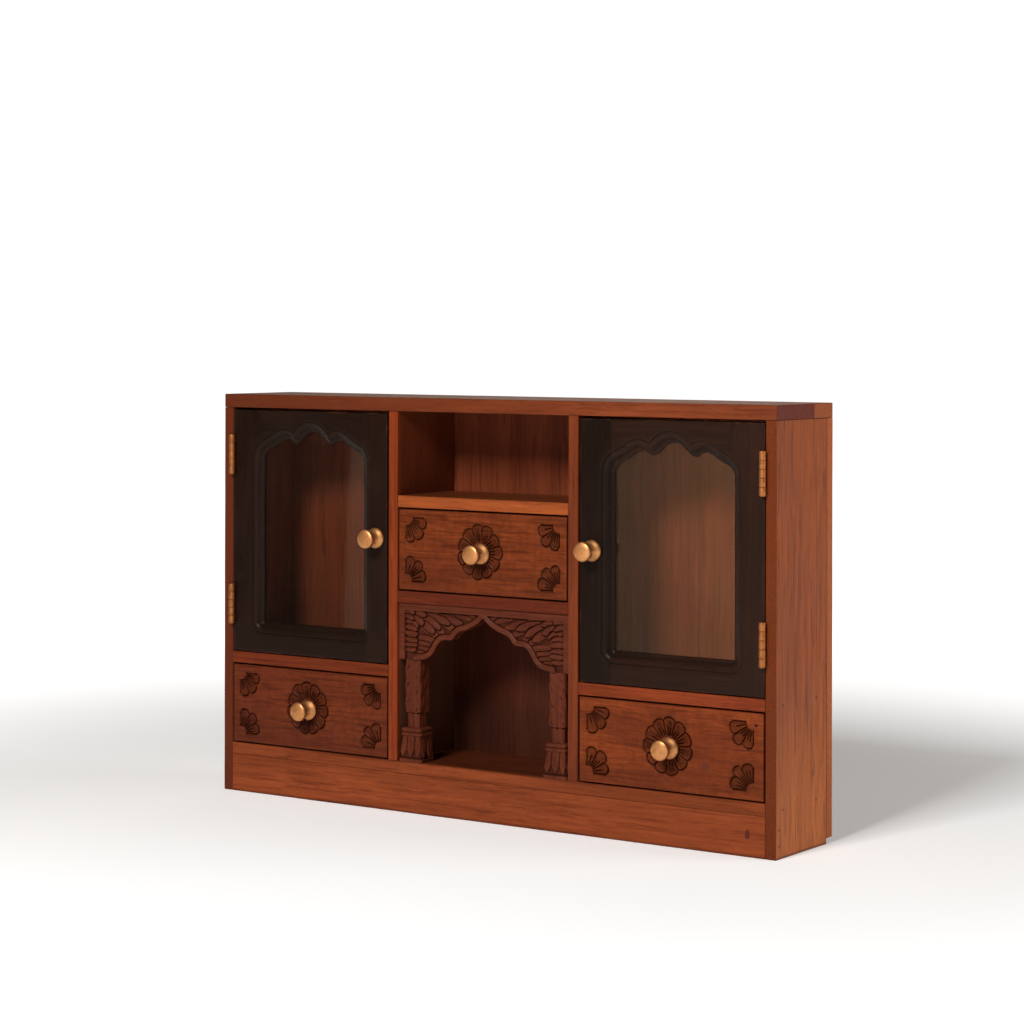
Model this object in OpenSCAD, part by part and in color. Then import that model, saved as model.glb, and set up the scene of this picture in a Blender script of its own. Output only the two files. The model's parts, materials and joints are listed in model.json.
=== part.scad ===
// Desktop cabinet: three bays between two sides and two dividers. The outer
// bays hold a glazed door with a cusped arch over a drawer. The middle bay
// holds an open cubby, a drawer, and a niche with a carved arch on two columns.
// Millimetres. X to the right, Y to the back, Z up. The origin is under the
// middle of the whole outline, with the knobs counted in the depth.

/* [Carcass] */
// Width over the two sides
body_w = 610; // [600:1:640]
// Depth from the front edges to the rear face of the back panel
body_d = 100.5; // [98:0.5:120]
// Height from the table to the top face
body_h = 384; // [380:1:396]
// Thickness of the sides and the dividers
board_t = 10.5; // [9:0.5:12]
// Thickness of the top board
top_t = 13; // [11:0.5:15]
// Thickness of the shelves and the bottom board
shelf_t = 11; // [10:0.5:12]
// Thickness of the back panel
back_t = 10.3; // [6:0.1:11]
// Gap between the table and the lower edge of the back panel
back_lift = 5; // [2:0.5:10]
// Height of the plinth board
plinth_h = 36; // [30:1:40]
// Thickness of the plinth board
plinth_t = 10.5; // [9:0.5:14]
// Height of each drawer's opening
drawer_open_h = 77.2; // [74:0.2:80]
// Height of the niche in the middle bay
niche_h = 147; // [145:1:149]

/* [Doors] */
// Thickness of the door frame
door_t = 16; // [15:0.5:18]
// Gap along the hinge edge of a door
hinge_gap = 0.8; // [0.7:0.1:1]
// Gap along the latch edge of a door
latch_gap = 2.2; // [1.8:0.1:3]
// Gap under a door
door_gap_low = 0.8; // [0.5:0.1:1.5]
// Gap over a door
door_gap_high = 2.2; // [1:0.1:3]
// Width of the glazed opening
sight_w = 121; // [110:1:126]
// Height of the bottom rail
low_rail_h = 29; // [24:0.2:32]
// Height of the opening's straight edges
sight_h = 158.2; // [150:0.2:164]
// Thickness of the lip in front of the glass
lip_t = 8; // [6:0.5:8.5]
// Depth of the rebate around the opening
rebate_w = 6; // [4:0.5:7]
// Thickness of the glass
glass_t = 2; // [2:0.5:3]

/* [Hinges] */
// Length of each hinge
hinge_l = 38; // [34:1:40]
// Height of the middle of the lower hinges
hinge_z_low = 181.4; // [178:0.2:190]
// Height of the middle of the upper hinges
hinge_z_high = 326; // [318:1:330]
// Thickness of a hinge leaf
leaf_t = 1.2; // [1:0.1:1.3]
// Radius of a hinge knuckle
knuckle_r = 3; // [2.6:0.1:3.1]
// Radius of a hinge pin
pin_r = 1.25; // [1:0.05:1.3]
// Running clearance of the pin in the door's knuckles
pin_play = 0.05; // [0.02:0.01:0.08]

/* [Knobs] */
// How far a knob stands out from the face behind it
knob_l = 19; // [17:0.5:22]
// Radius of a knob's foot
knob_foot_r = 9.6; // [8:0.2:11]
// Radius of a knob's head
knob_head_r = 8.9; // [8:0.1:10]
// Distance of a door knob from the middle of the cabinet
door_knob_x = 120; // [118:0.5:124]

/* [Drawers] */
// Thickness of a drawer front
front_t = 12; // [11:0.5:14]
// Gap at each end of a drawer front
front_gap_x = 1.65; // [1:0.05:2]
// Gap under a drawer front
front_gap_low = 1.3; // [1:0.1:2]
// Gap over a drawer front
front_gap_high = 1.5; // [1:0.1:2.5]
// Thickness of a drawer's sides and back
drawer_side_t = 8; // [6:0.5:9]
// Thickness of a drawer's bottom panel
drawer_bottom_t = 3; // [2.5:0.5:4]
// Height of a drawer's sides
drawer_side_h = 66; // [56:1:68]

/* [Niche] */
// Set-back of the arch panel from the front edges
arch_back = 2; // [1:0.5:4]
// Thickness of the arch panel
arch_t = 10; // [8:0.5:14]
// Height of the arch panel's foot over the bottom board
column_h = 94.3; // [93:0.1:96]
// Distance of the columns' middle from the middle of the cabinet
column_x = 80.3; // [78:0.1:81]
// Width of a column's shaft
shaft_w = 17.5; // [14:0.5:18]
// Depth of a column's shaft
shaft_d = 15; // [12:0.5:16]

/* [Hidden] */

// front_y puts the middle of the depth, knobs included, at y = 0
front_y = -(body_d - knob_l) / 2;
inner_d = body_d - back_t;
wall_h = body_h - top_t;
side_in = body_w / 2 - board_t;
bay_w = (body_w - 4 * board_t) / 3;
div_in = bay_w / 2;
div_out = div_in + board_t;
bay_x = (div_out + side_in) / 2;

// heights of the boards' top faces
floor_z = plinth_h + shelf_t;
low_open_top = floor_z + drawer_open_h;
shelf_z = low_open_top + shelf_t;
ceiling_z = floor_z + niche_h;
mid_floor_z = ceiling_z + shelf_t;
mid_open_top = mid_floor_z + drawer_open_h;
cubby_z = mid_open_top + shelf_t;

// the right door's outline; the left door is its mirror image
door_x0 = div_out + latch_gap;
door_x1 = side_in - hinge_gap;
door_z0 = shelf_z + door_gap_low;
door_z1 = wall_h - door_gap_high;
sight_x0 = bay_x - sight_w / 2;
sight_x1 = bay_x + sight_w / 2;
sight_z0 = door_z0 + low_rail_h;
spring_z = sight_z0 + sight_h;
rail_z0 = spring_z;
reb_x0 = sight_x0 - rebate_w;
reb_x1 = sight_x1 + rebate_w;
reb_z0 = sight_z0 - rebate_w;
reb_z1 = spring_z + 32;
tenon_l = 16;
tenon_t = 5;
tenon_y = 2.2;

// hinge line
leaf_gap = 0.4;
pin_x = side_in - leaf_t - leaf_gap / 2;
pin_y = -(knuckle_r + 0.2);
leaf_root = 0.1;
leaf_end = 10.8;
knuckles = 5;
screw_dz = 11;
screw_y = 5.8;
screw_r = 1.3;
screw_head_r = 2.3;
door_knob_z = (door_z0 + door_z1) / 2;
bolt_r = 2;
bolt_hole_r = 2.25;

// drawers
drawer_w = bay_w - 2 * front_gap_x;
front_h = drawer_open_h - front_gap_low - front_gap_high;
drawer_end = inner_d - 0.5;
groove_z = 4;
groove_d = 3;
drawer_lift = 0.2;

// half of the door's cusped arch, from the spring line up to the crown
door_arch = [
    [60.5, 0], [58.5, 4], [55.5, 7], [51, 9.4], [44, 13], [38, 16.7],
    [33.5, 18.4], [30, 18.2], [27, 16.8], [23.5, 14.6], [20, 14.5],
    [16.5, 16.2], [13, 19.4], [9, 23], [5, 25.3], [0, 26]
];
// half of the niche's cusped arch, from the foot up to the point
niche_half = [
    [74, 0], [65.5, 1.2], [59.8, 3.8], [55.5, 8], [52.5, 12.8], [49, 17.6],
    [44.5, 20.2], [36.5, 20.6], [32.5, 22.8], [29.3, 26.8], [25, 29.3],
    [18, 31.5], [11.5, 34.4], [5.5, 38], [0, 42.7]
];
// half outline of a knob: radius, then height over its seat, for a length of 19
knob_half = [
    [0, 0], [0.96, 0], [1, 1], [0.98, 1.9], [0.88, 3], [0.7, 4.7],
    [0.54, 6.5], [0.47, 8.4], [0.48, 10]
];
knob_head = [
    [0.6, 11.6], [0.86, 12.7], [0.98, 14.1], [1, 15.6], [0.97, 16.9],
    [0.87, 17.9], [0.66, 18.5], [0.38, 18.9], [0, 19]
];

nail_r = 0.9;
nail_l = 28;

function rev(v) = [for (i = [len(v) - 1:-1:0]) v[i]];
// a full outline, left to right, from a half outline that runs inwards
function across(half, k = 1) = concat(
    [for (p = half) [-p[0] * k, p[1]]],
    [for (i = [len(half) - 2:-1:0]) [half[i][0] * k, half[i][1]]]);

// a box from its limits, with y counted back from the front edges
module block(x0, x1, y0, y1, z0, z1) {
    translate([x0, front_y + y0, z0]) cube([x1 - x0, y1 - y0, z1 - z0]);
}
// a rod along X, along Y or along Z, with y counted back from the front
module rod_x(x0, x1, y, z, r) {
    translate([x0, front_y + y, z]) rotate([0, 90, 0])
        cylinder(r = r, h = x1 - x0, $fn = 32);
}
module rod_y(x, y0, y1, z, r) {
    translate([x, front_y + y1, z]) rotate([90, 0, 0])
        cylinder(r = r, h = y1 - y0, $fn = 32);
}
module rod_z(x, y, z0, z1, r) {
    translate([x, front_y + y, z0]) cylinder(r = r, h = z1 - z0, $fn = 32);
}
// an outline in X and Z, given a thickness from y0 back to y1
module plate(y0, y1) {
    translate([0, front_y + y1, 0]) rotate([90, 0, 0])
        linear_extrude(height = y1 - y0) children();
}

// nails of the right half, each from its head inwards
module side_nails() {
    for (y = [12, 71], z = [shelf_z - shelf_t / 2, plinth_h + shelf_t / 2])
        rod_x(body_w / 2 - nail_l, body_w / 2, y, z, nail_r);
    for (z = [11, 25])
        rod_x(body_w / 2 - nail_l, body_w / 2, 5.2, z, nail_r);
}
module top_nails() {
    for (x = [body_w / 2 - board_t / 2, div_in + board_t / 2], y = [15, 75])
        rod_z(x, y, body_h - nail_l, body_h, nail_r);
}
module divider_nails() {
    for (y = [16, 74]) {
        for (z = [ceiling_z + shelf_t / 2, cubby_z - shelf_t / 2])
            rod_x(div_out - nail_l, div_out, y, z, nail_r);
        rod_x(div_in, div_in + nail_l, y + 5, shelf_z - shelf_t / 2, nail_r);
        rod_z(div_in + board_t / 2, y, plinth_h, plinth_h + nail_l, nail_r);
    }
}
module back_nails() {
    for (z = [30, 100, 180, 260, 340])
        rod_y(body_w / 2 - board_t / 2, body_d - nail_l, body_d, z, nail_r);
    for (z = [80, 165, 250, 335])
        rod_y(div_in + board_t / 2, body_d - nail_l, body_d, z, nail_r);
    for (x = [60, 150, 240])
        rod_y(x, body_d - nail_l, body_d, plinth_h + shelf_t / 2, nail_r);
}
module nails_right() {
    side_nails();
    top_nails();
    divider_nails();
    back_nails();
}
module nails_all() {
    nails_right();
    mirror([1, 0, 0]) nails_right();
}

// screws of the right door's hinges, frame side and door side
module leaf_screw(dir, x, z, grow) {
    // dir is +1 for a screw that points to +X from its head's face at x
    translate([x, front_y + screw_y, z]) rotate([0, 90 * dir, 0]) {
        cylinder(r1 = screw_head_r + grow, r2 = screw_r + grow, h = leaf_t,
            $fn = 32);
        cylinder(r = screw_r + grow, h = 9.4, $fn = 32);
    }
}
module frame_screws_right(grow = 0) {
    for (zc = [hinge_z_low, hinge_z_high], s = [-1, 1])
        leaf_screw(1, pin_x + leaf_gap / 2, zc + s * screw_dz, grow);
}
module door_screws_right(grow = 0) {
    for (zc = [hinge_z_low, hinge_z_high], s = [-1, 1])
        leaf_screw(-1, pin_x - leaf_gap / 2, zc + s * screw_dz, grow);
}

// one hinge leaf with its share of the knuckles, around the pin at x = 0
module leaf(side, first, bore) {
    step = hinge_l / knuckles;
    x0 = side > 0 ? leaf_gap / 2 : -leaf_gap / 2 - leaf_t;
    difference() {
        union() {
            translate([x0, leaf_root - pin_y, 0])
                cube([leaf_t, leaf_end - leaf_root, hinge_l]);
            for (i = [first:2:knuckles - 1]) {
                z0 = i * step + (i > 0 ? 0.1 : 0);
                z1 = (i + 1) * step - (i < knuckles - 1 ? 0.1 : 0);
                translate([0, 0, z0])
                    cylinder(r = knuckle_r, h = z1 - z0, $fn = 48);
                translate([x0, 0, z0])
                    cube([leaf_t, leaf_root - pin_y + 0.5, z1 - z0]);
            }
        }
        translate([0, 0, -1])
            cylinder(r = bore, h = hinge_l + 2, $fn = 32);
    }
}
module at_hinges() {
    for (zc = [hinge_z_low, hinge_z_high])
        translate([pin_x, front_y + pin_y, zc - hinge_l / 2]) children();
}

// --- carcass -------------------------------------------------------------
module top_board() {
    color("#8a4a2c") difference() {
        block(-body_w / 2, body_w / 2, 0, body_d, wall_h, body_h);
        nails_all();
    }
}
module side_right() {
    color("#a8683f") difference() {
        block(side_in, body_w / 2, 0, inner_d, 0, wall_h);
        nails_right();
        frame_screws_right();
    }
}
module right_side() { side_right(); }
module left_side() { mirror([1, 0, 0]) side_right(); }
module divider_right() {
    color("#9c5630") difference() {
        block(div_in, div_out, 0, inner_d, floor_z, wall_h);
        nails_right();
    }
}
module right_divider() { divider_right(); }
module left_divider() { mirror([1, 0, 0]) divider_right(); }
module bottom_board() {
    color("#984f2c") difference() {
        block(-side_in, side_in, 0, inner_d, plinth_h, floor_z);
        nails_all();
    }
}
module plinth_board() {
    color("#9a4e2a") difference() {
        block(-side_in, side_in, 0, plinth_t, 0, plinth_h);
        nails_all();
    }
}
module shelf_right() {
    color("#984f2c") difference() {
        block(div_out, side_in, 0, inner_d, low_open_top, shelf_z);
        nails_right();
    }
}
module right_shelf() { shelf_right(); }
module left_shelf() { mirror([1, 0, 0]) shelf_right(); }
module cubby_shelf() {
    color("#a65b32") difference() {
        block(-div_in, div_in, 0, inner_d, mid_open_top, cubby_z);
        nails_all();
    }
}
module niche_ceiling() {
    color("#984f2c") difference() {
        block(-div_in, div_in, 0, inner_d, ceiling_z, mid_floor_z);
        nails_all();
    }
}
module niche_arch() {
    foot = floor_z + column_h;
    color("#7c4227") plate(arch_back, arch_back + arch_t) polygon(concat(
        [[-div_in, ceiling_z], [-div_in, foot]],
        [for (p = across(niche_half)) [p[0], foot + p[1]]],
        [[div_in, foot], [div_in, ceiling_z]]));
}
module column_right() {
    foot = floor_z;
    w = shaft_w / 2;
    color("#7c4227") union() {
        block(column_x - w, column_x + w, 3.5, 3.5 + shaft_d, foot + 22,
            foot + column_h);
        block(column_x - w - 3.2, column_x + w + 3.2, 1, 20, foot + 23.5,
            foot + 31.5);
        plate(0.3, 20) polygon([
            [column_x - 10.2, foot + 23.5], [column_x - 13.2, foot + 6],
            [column_x - 13.2, foot], [column_x + 13.2, foot],
            [column_x + 13.2, foot + 6], [column_x + 10.2, foot + 23.5]]);
    }
}
module right_column() { column_right(); }
module left_column() { mirror([1, 0, 0]) column_right(); }
module back_panel() {
    color("#6e3a22") difference() {
        block(-body_w / 2, body_w / 2, inner_d, body_d, back_lift, wall_h);
        nails_all();
    }
}
module carcass_nails() { color("#4a4440") nails_all(); }

// --- hinges and catches on the carcass -----------------------------------
module frame_leaves_right() {
    difference() {
        at_hinges() leaf(1, 0, pin_r);
        frame_screws_right(0.04);
    }
}
module hinge_frame_leaves() {
    color("#b98a45") {
        frame_leaves_right();
        mirror([1, 0, 0]) frame_leaves_right();
    }
}
module pins_right() {
    at_hinges() {
        cylinder(r = pin_r, h = hinge_l, $fn = 32);
        translate([0, 0, -0.8]) cylinder(r = 2, h = 0.8, $fn = 32);
        translate([0, 0, hinge_l]) cylinder(r = 2, h = 0.8, $fn = 32);
    }
}
module hinge_pins() {
    color("#a87b3c") {
        pins_right();
        mirror([1, 0, 0]) pins_right();
    }
}
module hinge_frame_screws() {
    color("#c29a58") {
        frame_screws_right();
        mirror([1, 0, 0]) frame_screws_right();
    }
}
module catch_right() {
    block(door_x0 + 5, door_x0 + 25, door_t + 1, door_t + 13, shelf_z,
        shelf_z + 12);
}
module door_catches() {
    color("#5b4a3c") {
        catch_right();
        mirror([1, 0, 0]) catch_right();
    }
}

// --- doors, drawn for the right bay --------------------------------------
module sight_outline() {
    k = sight_w / 121;
    polygon(concat(
        [[sight_x0, sight_z0], [sight_x0, spring_z]],
        [for (p = across(door_arch, k)) [bay_x + p[0], spring_z + p[1]]],
        [[sight_x1, spring_z], [sight_x1, sight_z0]]));
}
// the routed step around the opening, seen from the front
module routed_outline() {
    k = sight_w / 121 * 1.1;
    e = 60.5 * k;
    polygon(concat(
        [[bay_x - e, sight_z0 - 3]],
        [for (p = across(door_arch, k)) [bay_x + p[0], spring_z + 5 + p[1]]],
        [[bay_x + e, sight_z0 - 3]]));
}
module door_openings() {
    plate(-1, door_t + 1) sight_outline();
    plate(-1, 2.5) routed_outline();
    block(reb_x0, reb_x1, lip_t, door_t + 1, reb_z0, reb_z1);
}
module tenons() {
    for (x = [sight_x0 - tenon_l, sight_x1])
        for (zz = [[door_z0 + 5, reb_z0 - 3], [reb_z1 + 0.6, door_z1 - 4]])
            block(x, x + tenon_l, tenon_y + 2, tenon_y + 2 + tenon_t, zz[0],
                zz[1]);
}
module mortises_for_leaves() {
    for (zc = [hinge_z_low, hinge_z_high])
        block(pin_x - leaf_gap / 2 - leaf_t, door_x1 + 1, -1, leaf_end + 0.3,
            zc - hinge_l / 2 - 0.2, zc + hinge_l / 2 + 0.2);
}
module door_hinge_stile() {
    color("#2a1f1b") difference() {
        block(sight_x1, door_x1, 0, door_t, door_z0, door_z1);
        door_openings();
        tenons();
        mortises_for_leaves();
        door_screws_right();
    }
}
module door_latch_stile() {
    color("#2a1f1b") difference() {
        block(door_x0, sight_x0, 0, door_t, door_z0, door_z1);
        door_openings();
        tenons();
        rod_y(door_knob_x, -1, door_t + 1, door_knob_z, bolt_hole_r);
    }
}
module door_top_rail() {
    color("#2a1f1b") union() {
        difference() {
            block(sight_x0, sight_x1, 0, door_t, rail_z0, door_z1);
            door_openings();
        }
        intersection() {
            tenons();
            block(door_x0, door_x1, 0, door_t, rail_z0, door_z1);
        }
    }
}
module door_bottom_rail() {
    color("#2a1f1b") union() {
        difference() {
            block(sight_x0, sight_x1, 0, door_t, door_z0, sight_z0);
            door_openings();
        }
        intersection() {
            tenons();
            block(door_x0, door_x1, 0, door_t, door_z0, sight_z0);
        }
    }
}
module door_glass() {
    color([0.8, 0.88, 0.88, 0.35])
        block(reb_x0 + 0.2, reb_x1 - 0.2, lip_t, lip_t + glass_t,
            reb_z0 + 0.2, reb_z1 - 0.2);
}
module door_glass_beads() {
    y0 = lip_t + glass_t;
    y1 = door_t - 1;
    w = rebate_w - 0.5;
    color("#33261f") {
        block(reb_x0, reb_x0 + w, y0, y1, reb_z0, reb_z1);
        block(reb_x1 - w, reb_x1, y0, y1, reb_z0, reb_z1);
        block(reb_x0 + w + 0.2, reb_x1 - w - 0.2, y0, y1, reb_z0, reb_z0 + w);
        block(reb_x0 + w + 0.2, reb_x1 - w - 0.2, y0, y1, reb_z1 - w, reb_z1);
    }
}
module door_strike_plate() {
    color("#8d8f92")
        block(door_x0 + 6, door_x0 + 24, door_t, door_t + 0.8, shelf_z + 2.5,
            shelf_z + 11);
}
module door_hinge_leaves() {
    color("#b98a45") difference() {
        at_hinges() leaf(-1, 1, pin_r + pin_play);
        door_screws_right(0.04);
    }
}
module door_hinge_screws() { color("#c29a58") door_screws_right(); }

// --- knobs ---------------------------------------------------------------
module knob_at(x, z) {
    s = knob_l / 19;
    color("#c39a5a") translate([x, front_y, z]) rotate([90, 0, 0])
        difference() {
            rotate_extrude($fn = 64) polygon(concat(
                [for (p = knob_half) [p[0] * knob_foot_r, p[1] * s]],
                [for (p = knob_head) [p[0] * knob_head_r, p[1] * s]]));
            translate([0, 0, -1]) cylinder(r = bolt_r, h = 9.6, $fn = 32);
        }
}
module knob_screw_at(x, z, t) {
    color("#b0a48e") union() {
        rod_y(x, -8.2, t + 1, z, bolt_r);
        rod_y(x, t, t + 2.2, z, 4);
    }
}
module door_knob() { knob_at(door_knob_x, door_knob_z); }
module door_knob_screw() { knob_screw_at(door_knob_x, door_knob_z, door_t); }

// --- drawers: x is the middle of the bay, z the floor of the opening -----
module drawer_front(x, z) {
    color("#8c4c26") difference() {
        block(x - drawer_w / 2, x + drawer_w / 2, 0, front_t,
            z + front_gap_low, z + front_gap_low + front_h);
        rod_y(x, -1, front_t + 1, z + front_gap_low + front_h / 2,
            bolt_hole_r);
        block(x - drawer_w / 2 + drawer_side_t - groove_d,
            x + drawer_w / 2 - drawer_side_t + groove_d, front_t - 4,
            front_t + 1, z + groove_z, z + groove_z + drawer_bottom_t);
    }
}
module drawer_sides(x, z) {
    color("#a06a3e") for (s = [0, 1]) translate([x, 0, 0])
        mirror([s, 0, 0]) difference() {
            block(drawer_w / 2 - drawer_side_t, drawer_w / 2, front_t,
                drawer_end, z + drawer_lift, z + drawer_side_h);
            block(drawer_w / 2 - drawer_side_t - 1,
                drawer_w / 2 - drawer_side_t + groove_d, front_t - 1,
                drawer_end + 1, z + groove_z,
                z + groove_z + drawer_bottom_t);
        }
}
module drawer_back(x, z) {
    color("#a06a3e")
        block(x - drawer_w / 2 + drawer_side_t,
            x + drawer_w / 2 - drawer_side_t, drawer_end - drawer_side_t,
            drawer_end, z + groove_z + drawer_bottom_t,
            z + drawer_side_h - 4);
}
module drawer_bottom(x, z) {
    color("#b07e50")
        block(x - drawer_w / 2 + drawer_side_t - groove_d,
            x + drawer_w / 2 - drawer_side_t + groove_d, front_t - 4,
            drawer_end, z + groove_z, z + groove_z + drawer_bottom_t);
}
module drawer_knob(x, z) { knob_at(x, z + front_gap_low + front_h / 2); }
module drawer_knob_screw(x, z) {
    knob_screw_at(x, z + front_gap_low + front_h / 2, front_t);
}

top_board();
left_side();
right_side();
left_divider();
right_divider();
bottom_board();
plinth_board();
left_shelf();
right_shelf();
cubby_shelf();
niche_ceiling();
niche_arch();
left_column();
right_column();
back_panel();
carcass_nails();
hinge_frame_leaves();
hinge_pins();
hinge_frame_screws();
door_catches();

door_hinge_stile();  // right_door_hinge_stile
door_latch_stile();  // right_door_latch_stile
door_top_rail();  // right_door_top_rail
door_bottom_rail();  // right_door_bottom_rail
door_glass();  // right_door_glass
door_glass_beads();  // right_door_glass_beads
door_knob();  // right_door_knob
door_knob_screw();  // right_door_knob_screw
door_strike_plate();  // right_door_strike_plate
door_hinge_leaves();  // right_door_hinge_leaves
door_hinge_screws();  // right_door_hinge_screws

mirror([1, 0, 0]) door_hinge_stile();  // left_door_hinge_stile
mirror([1, 0, 0]) door_latch_stile();  // left_door_latch_stile
mirror([1, 0, 0]) door_top_rail();  // left_door_top_rail
mirror([1, 0, 0]) door_bottom_rail();  // left_door_bottom_rail
mirror([1, 0, 0]) door_glass();  // left_door_glass
mirror([1, 0, 0]) door_glass_beads();  // left_door_glass_beads
mirror([1, 0, 0]) door_knob();  // left_door_knob
mirror([1, 0, 0]) door_knob_screw();  // left_door_knob_screw
mirror([1, 0, 0]) door_strike_plate();  // left_door_strike_plate
mirror([1, 0, 0]) door_hinge_leaves();  // left_door_hinge_leaves
mirror([1, 0, 0]) door_hinge_screws();  // left_door_hinge_screws

drawer_front(-bay_x, floor_z);  // left_drawer_front
drawer_sides(-bay_x, floor_z);  // left_drawer_sides
drawer_back(-bay_x, floor_z);  // left_drawer_back
drawer_bottom(-bay_x, floor_z);  // left_drawer_bottom
drawer_knob(-bay_x, floor_z);  // left_drawer_knob
drawer_knob_screw(-bay_x, floor_z);  // left_drawer_knob_screw

drawer_front(0, mid_floor_z);  // center_drawer_front
drawer_sides(0, mid_floor_z);  // center_drawer_sides
drawer_back(0, mid_floor_z);  // center_drawer_back
drawer_bottom(0, mid_floor_z);  // center_drawer_bottom
drawer_knob(0, mid_floor_z);  // center_drawer_knob
drawer_knob_screw(0, mid_floor_z);  // center_drawer_knob_screw

drawer_front(bay_x, floor_z);  // right_drawer_front
drawer_sides(bay_x, floor_z);  // right_drawer_sides
drawer_back(bay_x, floor_z);  // right_drawer_back
drawer_bottom(bay_x, floor_z);  // right_drawer_bottom
drawer_knob(bay_x, floor_z);  // right_drawer_knob
drawer_knob_screw(bay_x, floor_z);  // right_drawer_knob_screw
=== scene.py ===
import json
import math

import bmesh
import bpy
import numpy as np
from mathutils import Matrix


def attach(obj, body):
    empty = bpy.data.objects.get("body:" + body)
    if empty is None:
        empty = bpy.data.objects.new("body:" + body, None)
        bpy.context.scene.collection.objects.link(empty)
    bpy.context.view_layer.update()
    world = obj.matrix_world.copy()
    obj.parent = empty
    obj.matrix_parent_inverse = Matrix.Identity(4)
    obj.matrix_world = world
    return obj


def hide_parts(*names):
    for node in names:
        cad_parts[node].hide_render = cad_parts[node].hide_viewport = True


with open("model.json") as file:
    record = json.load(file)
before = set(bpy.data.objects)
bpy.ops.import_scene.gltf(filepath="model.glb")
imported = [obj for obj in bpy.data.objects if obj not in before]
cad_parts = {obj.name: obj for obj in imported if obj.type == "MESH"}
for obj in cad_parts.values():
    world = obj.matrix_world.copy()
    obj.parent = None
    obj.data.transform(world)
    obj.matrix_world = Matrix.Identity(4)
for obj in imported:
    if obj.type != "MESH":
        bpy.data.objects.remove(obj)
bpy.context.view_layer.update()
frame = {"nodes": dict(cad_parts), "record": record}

# ---------------------------------------------------------------------------
# Frame: millimetres here, x to the right, y counted back from the cabinet's
# front edges, z up. FRONT_Y brings y into the part's own frame.
# ---------------------------------------------------------------------------
FRONT_Y = -40.75
BODY_OF = {n: b for b, ns in frame["record"]["behaviour"]["bodies"].items() for n in ns}


def place(v):
    """Points in millimetres to points in metres in the part's frame."""
    v = np.asarray(v, float).reshape(-1, 3)
    return np.stack([v[:, 0], v[:, 1] + FRONT_Y, v[:, 2]], 1) / 1000.0


# ---------------------------------------------------------------------------
# Camera: the photograph's angle. Level, so all uprights stay upright; the
# object sits low in the picture, which the shift gives.
# ---------------------------------------------------------------------------
cam_data = bpy.data.cameras.new("camera")
cam_data.sensor_fit = "HORIZONTAL"
cam_data.sensor_width = 36.0
cam_data.lens = 2677.28 / 1024.0 * 36.0
cam_data.shift_x = 0.0
cam_data.shift_y = -(512.0 - 327.19) / 1024.0
cam_data.clip_start = 0.05
cam_data.clip_end = 60.0
camera = bpy.data.objects.new("camera", cam_data)
bpy.context.scene.collection.objects.link(camera)
camera.location = (1.40255, -1.98221 - 0.04075, 0.44918)
camera.rotation_mode = "XYZ"
camera.rotation_euler = (math.radians(90.0), math.radians(-0.115), math.radians(34.627))
bpy.context.scene.camera = camera


# ---------------------------------------------------------------------------
# Noise used by the mesh code
# ---------------------------------------------------------------------------
def _cell(i, j, k, seed):
    h = (i * 374761393 + j * 668265263 + k * 1442695041 + seed * 1274126177) & 0xFFFFFFFF
    h = ((h ^ (h >> 13)) * 1274126177) & 0xFFFFFFFF
    h = ((h ^ (h >> 16)) * 2246822519) & 0xFFFFFFFF
    return ((h ^ (h >> 15)) & 0xFFFFFF) / float(0xFFFFFF)


def noise3(p, seed=0):
    """Smooth value noise, 0 to 1, at points (N, 3)."""
    p = np.asarray(p, float)
    i = np.floor(p).astype(np.int64)
    f = p - i
    f = f * f * (3 - 2 * f)
    out = np.zeros(len(p))
    for a in (0, 1):
        for b in (0, 1):
            for c in (0, 1):
                w = (
                    (f[:, 0] if a else 1 - f[:, 0])
                    * (f[:, 1] if b else 1 - f[:, 1])
                    * (f[:, 2] if c else 1 - f[:, 2])
                )
                out += w * _cell(i[:, 0] + a, i[:, 1] + b, i[:, 2] + c, seed)
    return out


def noise2(x, z, scale, seed=0):
    shape = np.shape(x)
    p = np.stack([np.ravel(x) / scale, np.ravel(z) / scale, np.full(np.size(x), 0.37)], 1)
    return noise3(p, seed).reshape(shape)


def smooth(x, a, b):
    t = np.clip((x - a) / (b - a), 0, 1)
    return t * t * (3 - 2 * t)


# ---------------------------------------------------------------------------
# Mesh building
# ---------------------------------------------------------------------------
class Shape:
    """Points, faces, a material index per face and float values per point, gathered piece by piece."""

    def __init__(self):
        self.v, self.f, self.m, self.n = [], [], [], 0
        self.val = {"edge": [], "cav": []}

    def add(self, verts, faces, mat=0, edge=None, cav=None):
        verts = np.asarray(verts, float).reshape(-1, 3)
        self.v.append(verts)
        self.f += [tuple(int(i) + self.n for i in f) for f in faces]
        self.m += [mat] * len(faces)
        self.n += len(verts)
        for k, a in (("edge", edge), ("cav", cav)):
            self.val[k].append(np.zeros(len(verts)) if a is None else np.asarray(a, float).ravel())
        return self

    def mirrored(self):
        """The same shape with x turned round."""
        s = Shape()
        v = np.concatenate(self.v) * np.array([-1, 1, 1])
        s.add(v, [tuple(reversed(f)) for f in self.f], 0, np.concatenate(self.val["edge"]), np.concatenate(self.val["cav"]))
        s.m = list(self.m)
        return s

    def moved(self, x=0.0, y=0.0, z=0.0):
        s = Shape()
        s.add(np.concatenate(self.v) + np.array([x, y, z]), self.f, 0, np.concatenate(self.val["edge"]), np.concatenate(self.val["cav"]))
        s.m = list(self.m)
        return s

    def join(self, other):
        s = self
        base = s.n
        s.v += other.v
        s.f += [tuple(i + base for i in f) for f in other.f]
        s.m += other.m
        s.n += other.n
        for k in s.val:
            s.val[k] += other.val[k]
        return s


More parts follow.
